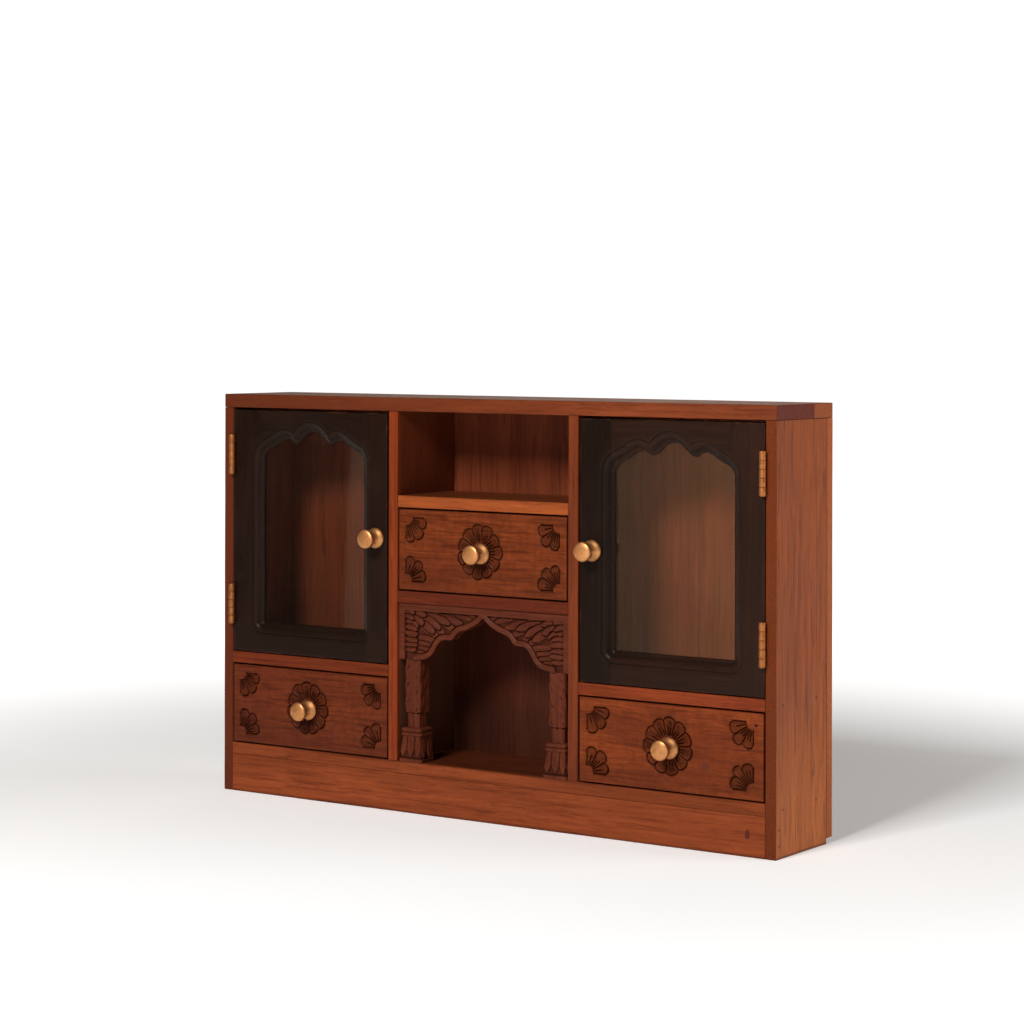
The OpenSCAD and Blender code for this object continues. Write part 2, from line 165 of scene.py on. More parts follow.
def make(name, shape, mats, node=None, body=None, angle=32.0, flat=False):
    me = bpy.data.meshes.new(name)
    me.from_pydata(place(np.concatenate(shape.v)).tolist(), [], shape.f)
    me.validate(clean_customdata=False)
    for m in mats if isinstance(mats, (list, tuple)) else [mats]:
        me.materials.append(m)
    if max(shape.m) > 0 and len(me.polygons) == len(shape.m):
        me.polygons.foreach_set("material_index", shape.m)
    for k, parts in shape.val.items():
        a = me.attributes.new(k, "FLOAT", "POINT")
        a.data.foreach_set("value", np.concatenate(parts).astype(np.float32))
    if not flat:
        me.polygons.foreach_set("use_smooth", [True] * len(me.polygons))
        me.set_sharp_from_angle(angle=math.radians(angle))
    me.update()
    o = bpy.data.objects.new(name, me)
    bpy.context.scene.collection.objects.link(o)
    if node is not None:
        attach(o, body or BODY_OF[node])
        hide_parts(node)
    elif body is not None:
        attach(o, body)
    return o


def grid_lines(a, b, r, step, extra=()):
    length = b - a
    r = min(r, length * 0.45)
    pts = [a, a + 0.3 * r, a + 0.65 * r, a + r]
    near = [a + r + 0.8, a + r + 2.4] if length > 2 * r + 8 else []
    pts += near
    lo = pts[-1]
    hi = b - (lo - a)
    n = max(1, int(math.ceil((hi - lo) / step)))
    pts += [lo + (hi - lo) * i / n for i in range(1, n)]
    pts += [b - (p - a) for p in reversed([a, a + 0.3 * r, a + 0.65 * r, a + r] + near)]
    pts += [p for p in extra if a < p < b]
    return np.unique(np.round(pts, 5))


def rounded_box(x0, x1, y0, y1, z0, z1, r=0.7, step=10.0, wob=0.12, seed=1, mat=0, rvar=0.5, freq=45.0, extra=((), (), ()), push=None):
    """A board with eased edges: its rounding varies along the edge and its faces are a little uneven, always inwards."""
    lo, hi = np.array([x0, y0, z0], float), np.array([x1, y1, z1], float)
    L = [grid_lines(lo[k], hi[k], r, step, extra[k]) for k in range(3)]
    n = [len(a) for a in L]
    index, pts, faces = {}, [], []

    def vid(i, j, k):
        key = (i, j, k)
        if key not in index:
            index[key] = len(pts)
            pts.append((L[0][i], L[1][j], L[2][k]))
        return index[key]

    for k, kk in ((0, 0), (n[2] - 1, 1)):
        for i in range(n[0] - 1):
            for j in range(n[1] - 1):
                q = [vid(i, j, k), vid(i, j + 1, k), vid(i + 1, j + 1, k), vid(i + 1, j, k)]
                faces.append(q if kk == 0 else q[::-1])
    for j, jj in ((0, 0), (n[1] - 1, 1)):
        for i in range(n[0] - 1):
            for k in range(n[2] - 1):
                q = [vid(i, j, k), vid(i + 1, j, k), vid(i + 1, j, k + 1), vid(i, j, k + 1)]
                faces.append(q if jj == 0 else q[::-1])
    for i, ii in ((0, 0), (n[0] - 1, 1)):
        for j in range(n[1] - 1):
            for k in range(n[2] - 1):
                q = [vid(i, j, k), vid(i, j, k + 1), vid(i, j + 1, k + 1), vid(i, j + 1, k)]
                faces.append(q if ii == 0 else q[::-1])
    p = np.array(pts)
    half = (hi - lo) / 2
    rl = r * (1 - rvar * noise3(p / (freq * 0.4), seed + 7))
    rl = np.minimum(rl[:, None], half[None, :] * 0.45).min(1)
    inner = np.clip(p, lo + rl[:, None], hi - rl[:, None])
    d = p - inner
    nd = np.linalg.norm(d, axis=1, keepdims=True)
    normal = np.divide(d, nd, out=np.zeros_like(d), where=nd > 1e-9)
    q = inner + normal * np.minimum(rl[:, None], np.maximum(nd, rl[:, None]))
    q = q - normal * (wob * (0.15 + 0.85 * noise3(p / freq, seed)))[:, None]
    gap = np.sort(np.minimum(p - lo, hi - p), axis=1)[:, 1]
    edge = np.exp(-gap / 1.3)
    if push is not None:
        q = push(q, normal)
    s = Shape()
    s.add(q, faces, mat, edge=edge)
    return s


def lathe(profile, centre, axis="y", segs=72, sign=-1.0, mat=0, wobble=0.0, seed=3, edge=None):
    """Turned shape. profile: (radius, height) from the axis, out and back to it. axis 'y' runs to the front for sign -1."""
    prof = np.asarray(profile, float)
    a = np.linspace(0, 2 * np.pi, segs, endpoint=False)
    v, f = [], []
    start_pole = prof[0, 0] < 1e-6
    end_pole = prof[-1, 0] < 1e-6
    rows = prof[1 if start_pole else 0 : len(prof) - 1 if end_pole else len(prof)]
    c = np.asarray(centre, float)

    def point(r, h, ang):
        u, w = r * np.cos(ang), r * np.sin(ang)
        if axis == "y":
            return np.stack([c[0] + u, np.full_like(u, c[1] + sign * h), c[2] + w], -1)
        if axis == "z":
            return np.stack([c[0] + u, c[1] + w, np.full_like(u, c[2] + sign * h)], -1)
        return np.stack([np.full_like(u, c[0] + sign * h), c[1] + u, c[2] + w], -1)

    for r, h in rows:
        rr = np.full(segs, r)
        if wobble:
            rr = rr * (1 + wobble * (noise3(np.stack([np.cos(a) * 1.7, np.sin(a) * 1.7, np.full(segs, h / 6.0)], 1), seed) - 0.5))
        v.append(point(rr, h, a))
    v = np.concatenate(v)
    n = len(rows)
    for i in range(n - 1):
        for j in range(segs):
            k = (j + 1) % segs
            f.append((i * segs + j, i * segs + k, (i + 1) * segs + k, (i + 1) * segs + j))
    extra = []
    if start_pole:
        extra.append(point(np.array([0.0]), prof[0, 1], np.array([0.0]))[0])
        p0 = len(v)
        f += [(p0, (j + 1) % segs, j) for j in range(segs)]
    else:
        f.append(tuple(range(segs))[::-1])
    if end_pole:
        p1 = len(v) + len(extra)
        extra.append(point(np.array([0.0]), prof[-1, 1], np.array([0.0]))[0])
        f += [(p1, (n - 1) * segs + j, (n - 1) * segs + (j + 1) % segs) for j in range(segs)]
    else:
        f.append(tuple((n - 1) * segs + j for j in range(segs)))
    if extra:
        v = np.concatenate([v, np.array(extra)])
    # outward faces: the signed volume says which way round they are
    tri = [(g[0], g[i], g[i + 1]) for g in f for i in range(1, len(g) - 1)]
    t = v[np.array(tri)] - v.mean(0)
    if np.einsum("ij,ij->i", t[:, 0], np.cross(t[:, 1], t[:, 2])).sum() < 0:
        f = [g[::-1] for g in f]
    s = Shape()
    s.add(v, f, mat, edge=np.zeros(len(v)) if edge is None else edge)
    return s


def curve_points(pts, per=6):
    """A smooth line through points (Catmull-Rom)."""
    p = np.asarray(pts, float)
    q = np.vstack([2 * p[0] - p[1], p, 2 * p[-1] - p[-2]])
    out = []
    for i in range(1, len(q) - 2):
        for k in range(per):
            t = k / per
            a, b, c, d = q[i - 1], q[i], q[i + 1], q[i + 2]
            out.append(0.5 * (2 * b + (c - a) * t + (2 * a - 5 * b + 4 * c - d) * t * t + (3 * b - 3 * c + d - a) * t ** 3))
    out.append(p[-1])
    return np.array(out)


def relief_panel(xs, zs, depth, y0, y1, r=0.8, cav=None, mat=0, seed=5):
    """A panel seen from the front: a fine grid of points set back by depth, with eased edges, closed by four flat edges and a flat back."""
    nx, nz = len(xs), len(zs)
    X, Z = np.meshgrid(xs, zs, indexing="ij")
    ex = np.minimum(X - xs[0], xs[-1] - X)
    ez = np.minimum(Z - zs[0], zs[-1] - Z)
    e = np.minimum(ex, ez)
    rr = r * (0.6 + 0.8 * noise2(X, Z, 22.0, seed))
    t = np.clip(1 - e / rr, 0, 1)
    ease = rr * (1 - np.sqrt(np.clip(1 - t * t, 0, 1)))
    Y = y0 + np.maximum(depth, 0) + ease
    Y = np.minimum(Y, y1 - 0.5)
    Y[0, :] = Y[-1, :] = Y[:, 0] = Y[:, -1] = y0 + r * 1.4
    v = np.stack([X, Y, Z], -1).reshape(-1, 3)
    idx = np.arange(nx * nz).reshape(nx, nz)
    f = []
    a, b, c, d = idx[:-1, :-1].ravel(), idx[1:, :-1].ravel(), idx[1:, 1:].ravel(), idx[:-1, 1:].ravel()
    f += list(zip(a, b, c, d))
    n = len(v)
    corners = np.array([[xs[0], y1, zs[0]], [xs[-1], y1, zs[0]], [xs[-1], y1, zs[-1]], [xs[0], y1, zs[-1]]])
    f.append((n, n + 3, n + 2, n + 1))
    f.append(tuple(idx[::-1, 0]) + (n, n + 1))
    f.append(tuple(idx[:, -1]) + (n + 2, n + 3))
    f.append(tuple(idx[0, :]) + (n + 3, n))
    f.append(tuple(idx[-1, ::-1]) + (n + 1, n + 2))
    edge = np.exp(-e / 1.3)
    s = Shape()
    s.add(
        np.concatenate([v, corners]),
        f,
        mat,
        edge=np.concatenate([edge.ravel(), np.ones(4)]),
        cav=np.concatenate([(np.zeros((nx, nz)) if cav is None else cav).ravel(), np.zeros(4)]),
    )
    return s


def blur(a, k):
    """Mean over a window of about 2k+1 grid points each way."""
    for axis in (0, 1):
        c = np.cumsum(np.pad(a, [(k + 1, k) if i == axis else (0, 0) for i in (0, 1)], mode="edge"), axis=axis)
        n = a.shape[axis]
        hi = np.take(c, np.arange(2 * k + 1, 2 * k + 1 + n), axis=axis)
        lo = np.take(c, np.arange(0, n), axis=axis)
        a = (hi - lo) / (2 * k + 1)
    return a


# ---------------------------------------------------------------------------
# Materials
# ---------------------------------------------------------------------------
class Nodes:
    def __init__(self, name):
        self.mat = bpy.data.materials.new(name)
        self.mat.use_nodes = True
        self.t = self.mat.node_tree
        self.t.nodes.clear()
        self.out = self.t.nodes.new("ShaderNodeOutputMaterial")

    def new(self, kind, ins=None, **props):
        n = self.t.nodes.new("ShaderNode" + kind)
        for k, v in props.items():
            setattr(n, k, v)
        for k, v in (ins or {}).items():
            self.set(n.inputs[k], v)
        return n

    def set(self, socket, v):
        if isinstance(v, bpy.types.NodeSocket):
            self.t.links.new(v, socket)
        elif isinstance(v, bpy.types.Node):
            self.t.links.new(v.outputs[0], socket)
        else:
            socket.default_value = v

    def math(self, op, a, b=0.0, clamp=False):
        n = self.new("Math", operation=op, use_clamp=clamp)
        self.set(n.inputs[0], a)
        self.set(n.inputs[1], b)
        return n.outputs[0]

    def mix(self, fac, a, b, mode="MIX"):
        n = self.new("Mix", data_type="RGBA", blend_type=mode, clamp_factor=True)
        self.set(n.inputs[0], fac)
        self.set(n.inputs[6], a)
        self.set(n.inputs[7], b)
        return n.outputs[2]

    def ramp(self, fac, stops):
        n = self.new("ValToRGB")
        self.set(n.inputs[0], fac)
        e = n.color_ramp.elements
        while len(e) < len(stops):
            e.new(0.5)
        for el, (pos, col) in zip(e, stops):
            el.position = pos
            el.color = (*col, 1.0) if len(col) == 3 else col
        return n.outputs[0]

    def map(self, v, a, b, c=0.0, d=1.0, kind="SMOOTHSTEP"):
        n = self.new("MapRange", interpolation_type=kind, clamp=True) if kind == "LINEAR" else self.new("MapRange", interpolation_type=kind)
        for k, x in (("Value", v), ("From Min", a), ("From Max", b), ("To Min", c), ("To Max", d)):
            self.set(n.inputs[k], x)
        return n.outputs[0]

    def attr(self, name):
        return self.new("Attribute", attribute_name=name).outputs["Fac"]


def lin(r, g, b):
    """sRGB 0-255 to the linear values that shaders take."""
    def one(c):
        c /= 255.0
        return c / 12.92 if c <= 0.04045 else ((c + 0.055) / 1.055) ** 2.4
    return (one(r), one(g), one(b), 1.0)


def scaled(c, k):
    return (min(c[0] * k, 1), min(c[1] * k, 1), min(c[2] * k, 1), 1.0)


def grain_coords(n, axis, seed, tilt=0.0):
    """Object coordinates in millimetres, turned so that the grain runs along the texture's X."""
    co = n.new("TexCoord").outputs["Object"]
    rng = np.random.RandomState(seed)
    off = rng.uniform(-900, 900, 3)
    sep = n.new("SeparateXYZ", {0: co})
    order = {"x": (0, 1, 2), "y": (1, 0, 2), "z": (2, 0, 1)}[axis]
    com = n.new("CombineXYZ")
    for i, o in enumerate(order):
        n.set(com.inputs[i], n.math("MULTIPLY_ADD", sep.outputs[o], 1000.0))
        com.inputs[i].links[0].from_node.inputs[2].default_value = float(off[i])
    v = com.outputs[0]
    if tilt:
        m = n.new("Mapping", {"Vector": v, "Rotation": (0, tilt * 0.3, tilt)})
        v = m.outputs[0]
    return v


def stretched(n, v, along, across, **kw):
    """Noise in grain coordinates, with feature sizes in millimetres along and across the grain."""
    m = n.new("Mapping", {"Vector": v, "Scale": (1.0 / along, 1.0 / across, 1.0 / across)})
    return n.new("TexNoise", {"Vector": m.outputs[0], "Scale": 1.0, "Detail": kw.get("detail", 3.0), "Roughness": kw.get("rough", 0.55), "Distortion": kw.get("dist", 0.0)}).outputs[0]


def wood(name, axis, dark, mid, light, seed=1, contrast=1.0, figure=0.0, figure_mm=7.0, curl=0.0, patches=0.25, patch_col=None,
         rough=(0.36, 0.5), bump=0.25, coat=0.0, edge_dark=0.35, cav_dark=0.75, cav_col=None, pore=0.5, tilt=0.0,
         end_axis=None, end_col=None, end_split=None, spec=0.1, carved=False, marks=(), seam=None, tone=None, wear=0.0, painted_shade=()):
    """Finished wood: broad tone changes, streaks, fine pores, wavy figure, darker joints, grime and painted shade in
    carving, painted shade fields, slow colour changes that carry painted light and shade, and marks.
    """
    n = Nodes(name)
    v = grain_coords(n, axis, seed, tilt)
    warp = stretched(n, v, 70.0, 26.0, detail=2.0)
    bent = n.new("VectorMath", {0: v}, operation="ADD")
    wv = n.new("CombineXYZ", {1: n.math("MULTIPLY", n.math("SUBTRACT", warp, 0.5), 9.0), 2: n.math("MULTIPLY", n.math("SUBTRACT", warp, 0.5), 7.0)})
    n.set(bent.inputs[1], wv.outputs[0])
    g = bent.outputs[0]
    streak = stretched(n, g, 95.0, 2.6, detail=5.0, rough=0.62)
    broad = stretched(n, g, 190.0, 24.0, detail=2.0)
    fine = stretched(n, g, 16.0, 0.62, detail=3.0, rough=0.6)
    s = n.map(streak, 0.5 - 0.2 / contrast, 0.5 + 0.2 / contrast)
    col = n.mix(s, mid, light)
    col = n.mix(n.map(streak, 0.5 - 0.02, 0.5 - 0.3 / contrast), col, dark)
    if figure:
        m = n.new("Mapping", {"Vector": g, "Scale": (1.0 / (figure_mm * (6 if not curl else 3.2)), 1.0 / figure_mm, 1.0 / figure_mm)})
        wave = n.new("TexWave", {"Vector": m.outputs[0], "Scale": 0.55, "Distortion": 7.5, "Detail": 3.0, "Detail Scale": 1.3, "Detail Roughness": 0.6},
                     wave_type="BANDS", bands_direction="Y", wave_profile="SIN").outputs[0]
        col = n.mix(n.math("MULTIPLY", n.map(wave, 0.15, 0.95), figure), col, dark)
    if curl:
        cross = stretched(n, g, 6.5, 13.0, detail=3.0, rough=0.6)
        col = n.mix(n.math("MULTIPLY", n.map(cross, 0.42, 0.68), curl), col, dark)
        col = n.mix(n.math("MULTIPLY", n.map(cross, 0.46, 0.28), curl * 0.8), col, light)
    b = n.map(broad, 0.33, 0.67)
    col = n.mix(n.math("MULTIPLY", b, patches), col, patch_col or scaled(dark, 0.8))
    pores = n.map(fine, 0.54, 0.72)
    col = n.mix(n.math("MULTIPLY", pores, pore), col, scaled(dark, 0.45))
    for (bx0, bx1, by, bz0, bz1, soft_mm, strength, shade_col) in painted_shade:
        # painted shade: a field of another, mostly darker colour with soft edges, behind depth by, in the part's x and
        # z; it stands in for the shade deep inside the niche, cubby and bays
        co = n.new("TexCoord").outputs["Object"]
        sx = n.new("SeparateXYZ", {0: co})
        px, pz = n.math("MULTIPLY", sx.outputs[0], 1000.0), n.math("MULTIPLY", sx.outputs[2], 1000.0)
        py = n.math("MULTIPLY", sx.outputs[1], 1000.0)
        f = n.math("MULTIPLY", n.map(px, bx0 - soft_mm, bx0 + soft_mm), n.map(px, bx1 + soft_mm, bx1 - soft_mm))
        f = n.math("MULTIPLY", f, n.math("MULTIPLY", n.map(pz, bz0 - soft_mm, bz0 + soft_mm), n.map(pz, bz1 + soft_mm, bz1 - soft_mm)))
        f = n.math("MULTIPLY", f, n.map(py, by + FRONT_Y, by + FRONT_Y + 2.5))
        f = n.math("MULTIPLY", f, n.map(py, 94.0 + FRONT_Y, 92.0 + FRONT_Y))
        col = n.mix(n.math("MULTIPLY", f, strength), col, shade_col)
    if tone:
        # a slow change of colour along one direction of the part: (axis, from mm, to mm, colour factor); on the top,
        # the right side and the plinth it is painted light and shade
        co = n.new("TexCoord").outputs["Object"]
        sx = n.new("SeparateXYZ", {0: co})
        for ax, a, c, strength, tcol, *how in tone:
            f = n.map(n.math("MULTIPLY", sx.outputs[ax], 1000.0), a, c)
            col = n.mix(n.math("MULTIPLY", f, strength), col, tcol, *how)
    if end_axis:
        nm = n.new("SeparateXYZ", {0: n.new("TexCoord").outputs["Normal"]})
        comp = n.math("ABSOLUTE", nm.outputs["xyz".index(end_axis)])
        dots = n.new("TexNoise", {"Vector": v, "Scale": 0.9, "Detail": 4.0, "Roughness": 0.7}).outputs[0]
        ecol = n.mix(n.map(dots, 0.35, 0.68), end_col or scaled(dark, 0.8), scaled(end_col or dark, 0.55))
        if end_split:
            # the end's rear part is another tone, behind a depth in mm
            pys = n.math("MULTIPLY", n.new("SeparateXYZ", {0: n.new("TexCoord").outputs["Object"]}).outputs[1], 1000.0)
            ecol = n.mix(n.map(pys, end_split[0] + FRONT_Y - 0.7, end_split[0] + FRONT_Y + 0.7), ecol, n.mix(n.map(dots, 0.35, 0.68), end_split[1], scaled(end_split[1], 0.75)))
        col = n.mix(n.map(comp, 0.6, 0.85), col, ecol)
    edge = n.attr("edge")
    cav = n.attr("cav")
    col = n.mix(n.math("MULTIPLY", n.map(edge, 0.45, 1.0), edge_dark), col, scaled(dark, 0.35))
    if wear:
        rub = n.math("MULTIPLY", n.map(edge, 0.3, 0.8), n.map(stretched(n, v, 30.0, 14.0, detail=3.0), 0.5, 0.72))
        col = n.mix(n.math("MULTIPLY", rub, wear), col, scaled(light, 1.35))
    # grime and painted shade: carved hollows and cuts darken by the cav value
    grime_and_shade = cav_col or scaled(dark, 0.22)
    col = n.mix(n.math("MULTIPLY", cav, cav_dark, clamp=True), col, grime_and_shade)
    if seam:
        co = n.new("TexCoord").outputs["Object"]
        sx = n.new("SeparateXYZ", {0: co})
        for x in seam:
            d = n.math("ABSOLUTE", n.math("SUBTRACT", n.math("MULTIPLY", sx.outputs[0], 1000.0), x))
            col = n.mix(n.math("MULTIPLY", n.map(d, 0.9, 0.15), 0.75), col, scaled(dark, 0.3))
    for (mx, my, mz, rad, mcol) in marks:
        co = n.new("TexCoord").outputs["Object"]
        dist = n.new("VectorMath", {0: co, 1: (mx / 1000.0, (my + FRONT_Y) / 1000.0, mz / 1000.0)}, operation="DISTANCE").outputs["Value"]
        wob = n.math("MULTIPLY", n.math("SUBTRACT", n.new("TexNoise", {"Vector": co, "Scale": 420.0, "Detail": 2.0}).outputs[0], 0.5), rad * 0.0009)
        col = n.mix(n.map(n.math("ADD", dist, wob), rad * 0.00115, rad * 0.0007), col, mcol)
    r = n.map(stretched(n, g, 60.0, 5.0, detail=3.0), 0.3, 0.7, rough[0], rough[1])
    r = n.math("ADD", r, n.math("MULTIPLY", pores, 0.12))
    r = n.math("ADD", r, n.math("MULTIPLY", cav, 0.15), clamp=True)
    h = n.math("SUBTRACT", n.math("MULTIPLY", streak, 0.6), n.math("MULTIPLY", pores, 0.6))
    bmp = n.new("Bump", {"Strength": bump, "Distance": 0.0003, "Height": h})
    p = n.new("BsdfPrincipled", {"Base Color": col, "Roughness": r, "Normal": bmp.outputs[0]})
    if carved:
        lvl = n.math("MULTIPLY_ADD", cav, -0.85 * spec)
        lvl.node.inputs[2].default_value = spec
        n.set(p.inputs["Specular IOR Level"], lvl)
    else:
        p.inputs["Specular IOR Level"].default_value = spec
    if coat:
        p.inputs["Coat Weight"].default_value = coat
        p.inputs["Coat Roughness"].default_value = 0.28
    n.set(n.out.inputs[0], p)
    return n.mat


def ebonised(name, axis, seed=1, base=(30, 17, 12), brown=(52, 27, 17)):
    """Near-black stained wood, satin, with faint grain and rubbed edges."""
    n = Nodes(name)
    v = grain_coords(n, axis, seed)
    streak = stretched(n, v, 80.0, 2.2, detail=5.0, rough=0.65)
    cloud = stretched(n, v, 60.0, 30.0, detail=3.0)
    fine = stretched(n, v, 14.0, 0.6, detail=3.0)
    col = n.mix(n.map(streak, 0.36, 0.7), lin(*base), lin(base[0] * 1.35, base[1] * 1.3, base[2] * 1.25))
    col = n.mix(n.math("MULTIPLY", n.map(cloud, 0.5, 0.75), 0.35), col, lin(*brown))
    # painted shade: the frames darken towards negative x, so the left door is darker
    where = n.new("SeparateXYZ", {0: n.new("TexCoord").outputs["Object"]}).outputs[0]
    col = n.mix(n.map(where, 0.25, -0.25, 0.0, 0.55), col, lin(base[0] * 0.7, base[1] * 0.7, base[2] * 0.7))
    edge = n.attr("edge")
    rub = n.math("MULTIPLY", n.map(edge, 0.35, 0.9), n.map(stretched(n, v, 26.0, 10.0, detail=3.0), 0.48, 0.7))
    col = n.mix(n.math("MULTIPLY", rub, 0.55), col, lin(84, 48, 32))
    # painted shade: hollows of the moulding darken by the cav value, which also darkens the cut joints
    cav = n.attr("cav")
    col = n.mix(n.math("MULTIPLY", cav, 0.7), col, lin(12, 8, 7))
    r = n.map(cloud, 0.3, 0.72, 0.26, 0.4)
    r = n.math("ADD", r, n.math("MULTIPLY", n.map(fine, 0.5, 0.75), 0.12))
    h = n.math("SUBTRACT", n.math("MULTIPLY", streak, 0.7), n.math("MULTIPLY", n.map(fine, 0.52, 0.72), 0.5))
    bmp = n.new("Bump", {"Strength": 0.28, "Distance": 0.00035, "Height": h})
    p = n.new("BsdfPrincipled", {"Base Color": col, "Roughness": r, "Normal": bmp.outputs[0]})
    p.inputs["Specular IOR Level"].default_value = 0.13
    p.inputs["Specular Tint"].default_value = (1.0, 0.78, 0.62, 1.0)
    n.set(n.out.inputs[0], p)
    return n.mat


def brass(name, col=(214, 152, 96), dark=(150, 90, 56), rough=(0.42, 0.56), seed=1, tarnish=0.5, joint=0.75):
    n = Nodes(name)
    co = n.new("TexCoord").outputs["Object"]
    m = n.new("Mapping", {"Vector": co, "Location": (seed * 0.37, seed * 0.11, seed * 0.23)})
    a = n.new("TexNoise", {"Vector": m.outputs[0], "Scale": 170.0, "Detail": 4.0, "Roughness": 0.6}).outputs[0]
    b = n.new("TexNoise", {"Vector": m.outputs[0], "Scale": 900.0, "Detail": 3.0, "Roughness": 0.6}).outputs[0]
    c = n.mix(n.math("MULTIPLY", n.map(a, 0.42, 0.72), tarnish), lin(*col), lin(*dark))
    c = n.mix(n.math("MULTIPLY", n.map(b, 0.5, 0.75), 0.25), c, lin(*dark))
    c = n.mix(n.math("MULTIPLY", n.attr("edge"), joint, clamp=True), c, lin(66, 38, 20))
    r = n.map(a, 0.3, 0.7, rough[0], rough[1])
    bmp = n.new("Bump", {"Strength": 0.12, "Distance": 0.0002, "Height": b})
    p = n.new("BsdfPrincipled", {"Base Color": c, "Roughness": r, "Normal": bmp.outputs[0]})
    p.inputs["Metallic"].default_value = 1.0
    n.set(n.out.inputs[0], p)
    return n.mat


def plain(name, col, col2, rough=0.45, metallic=0.0, scale=120.0, bump=0.1):
    n = Nodes(name)
    co = n.new("TexCoord").outputs["Object"]
    a = n.new("TexNoise", {"Vector": co, "Scale": scale, "Detail": 4.0, "Roughness": 0.6}).outputs[0]
    b = n.new("TexNoise", {"Vector": co, "Scale": scale * 7, "Detail": 2.0}).outputs[0]
    c = n.mix(n.map(a, 0.35, 0.7), lin(*col), lin(*col2))
    c = n.mix(n.math("MULTIPLY", n.attr("edge"), 0.4, clamp=True), c, scaled(lin(*col), 0.45))
    r = n.map(b, 0.3, 0.7, rough - 0.06, rough + 0.08)
    bmp = n.new("Bump", {"Strength": bump, "Distance": 0.0002, "Height": b})
    p = n.new("BsdfPrincipled", {"Base Color": c, "Roughness": r, "Normal": bmp.outputs[0]})
    p.inputs["Metallic"].default_value = metallic
    n.set(n.out.inputs[0], p)
    return n.mat


def glass(name):
    """A thin pane: clear with a mirror's share by angle, and a little haze of dust."""
    n = Nodes(name)
    facing = n.new("LayerWeight", {"Blend": 0.5}).outputs["Facing"]
    share = n.math("MULTIPLY_ADD", n.math("POWER", facing, 5.0), 0.94)
    share.node.inputs[2].default_value = 0.05
    clear = n.new("BsdfTransparent", {"Color": (0.95, 0.955, 0.94, 1.0)})
    gloss = n.new("BsdfGlossy", {"Color": (1.0, 1.0, 1.0, 1.0), "Roughness": 0.03})
    m = n.new("MixShader", {0: share, 1: clear.outputs[0], 2: gloss.outputs[0]})
    co = n.new("TexCoord").outputs["Object"]
    dustn = n.new("TexNoise", {"Vector": co, "Scale": 22.0, "Detail": 5.0, "Roughness": 0.6}).outputs[0]
    dust = n.new("BsdfDiffuse", {"Color": lin(170, 140, 120)})
    m2 = n.new("MixShader", {0: n.map(dustn, 0.35, 0.75, 0.004, 0.012), 1: m.outputs[0], 2: dust.outputs[0]})
    n.set(n.out.inputs[0], m2)
    return n.mat


# ---------------------------------------------------------------------------
# Sizes of the cabinet, in millimetres
# ---------------------------------------------------------------------------
BAY = 199.833
BODY_X, SIDE_IN, DIV_IN, DIV_OUT = 305.0, 294.5, 94.667, 105.167
INNER_D, BODY_D = 90.2, 100.5
WALL_H, BODY_H, PLINTH_H, FLOOR_Z = 371.0, 384.0, 36.0, 47.0
SHELF_Z0, SHELF_Z1 = 124.2, 135.2
CEIL_Z0, CEIL_Z1 = 194.0, 205.0
CUBBY_Z0, CUBBY_Z1 = 282.2, 293.2
DOOR_X0, DOOR_X1, DOOR_Z0, DOOR_Z1, DOOR_T = 107.367, 293.7, 136.0, 368.8, 16.0
SIGHT_HALF, SIGHT_Z0, SPRING_Z = 60.5, 165.0, 323.2
REB_HALF, REB_Z0, REB_Z1, LIP = 66.5, 159.0, 355.2, 8.0
PIN_X, PIN_Y = 293.1, -3.2
HINGE_Z = (181.4, 326.0)
DOOR_ARCH = [(60.5, 0), (58.5, 4), (55.5, 7), (51, 9.4), (44, 13), (38, 16.7), (33.5, 18.4), (30, 18.2),
             (27, 16.8), (23.5, 14.6), (20, 14.5), (16.5, 16.2), (13, 19.4), (9, 23), (5, 25.3), (0, 26)]
NICHE_HALF = [(74, 0), (65.5, 1.2), (59.8, 3.8), (55.5, 8), (52.5, 12.8), (49, 17.6), (44.5, 20.2), (36.5, 20.6),
              (32.5, 22.8), (29.3, 26.8), (25, 29.3), (18, 31.5), (11.5, 34.4), (5.5, 38), (0, 42.7)]
ARCH_FOOT = 141.3


# ---------------------------------------------------------------------------
# More mesh building: bars of any outline, rings, screws
# ---------------------------------------------------------------------------
def inset(poly, d):
    """A closed outline moved inwards by about d, corner by corner."""
    p = np.asarray(poly, float)
    area = 0.5 * np.sum(p[:, 0] * np.roll(p[:, 1], -1) - np.roll(p[:, 0], -1) * p[:, 1])
    s = 1.0 if area > 0 else -1.0
    e = np.roll(p, -1, 0) - p
    e /= np.maximum(np.linalg.norm(e, axis=1, keepdims=True), 1e-9)
    nrm = s * np.stack([-e[:, 1], e[:, 0]], 1)
    a, b = np.roll(nrm, 1, 0), nrm
    k = 1.0 + np.sum(a * b, axis=1, keepdims=True)
    return p + d * (a + b) / np.maximum(k, 0.35)


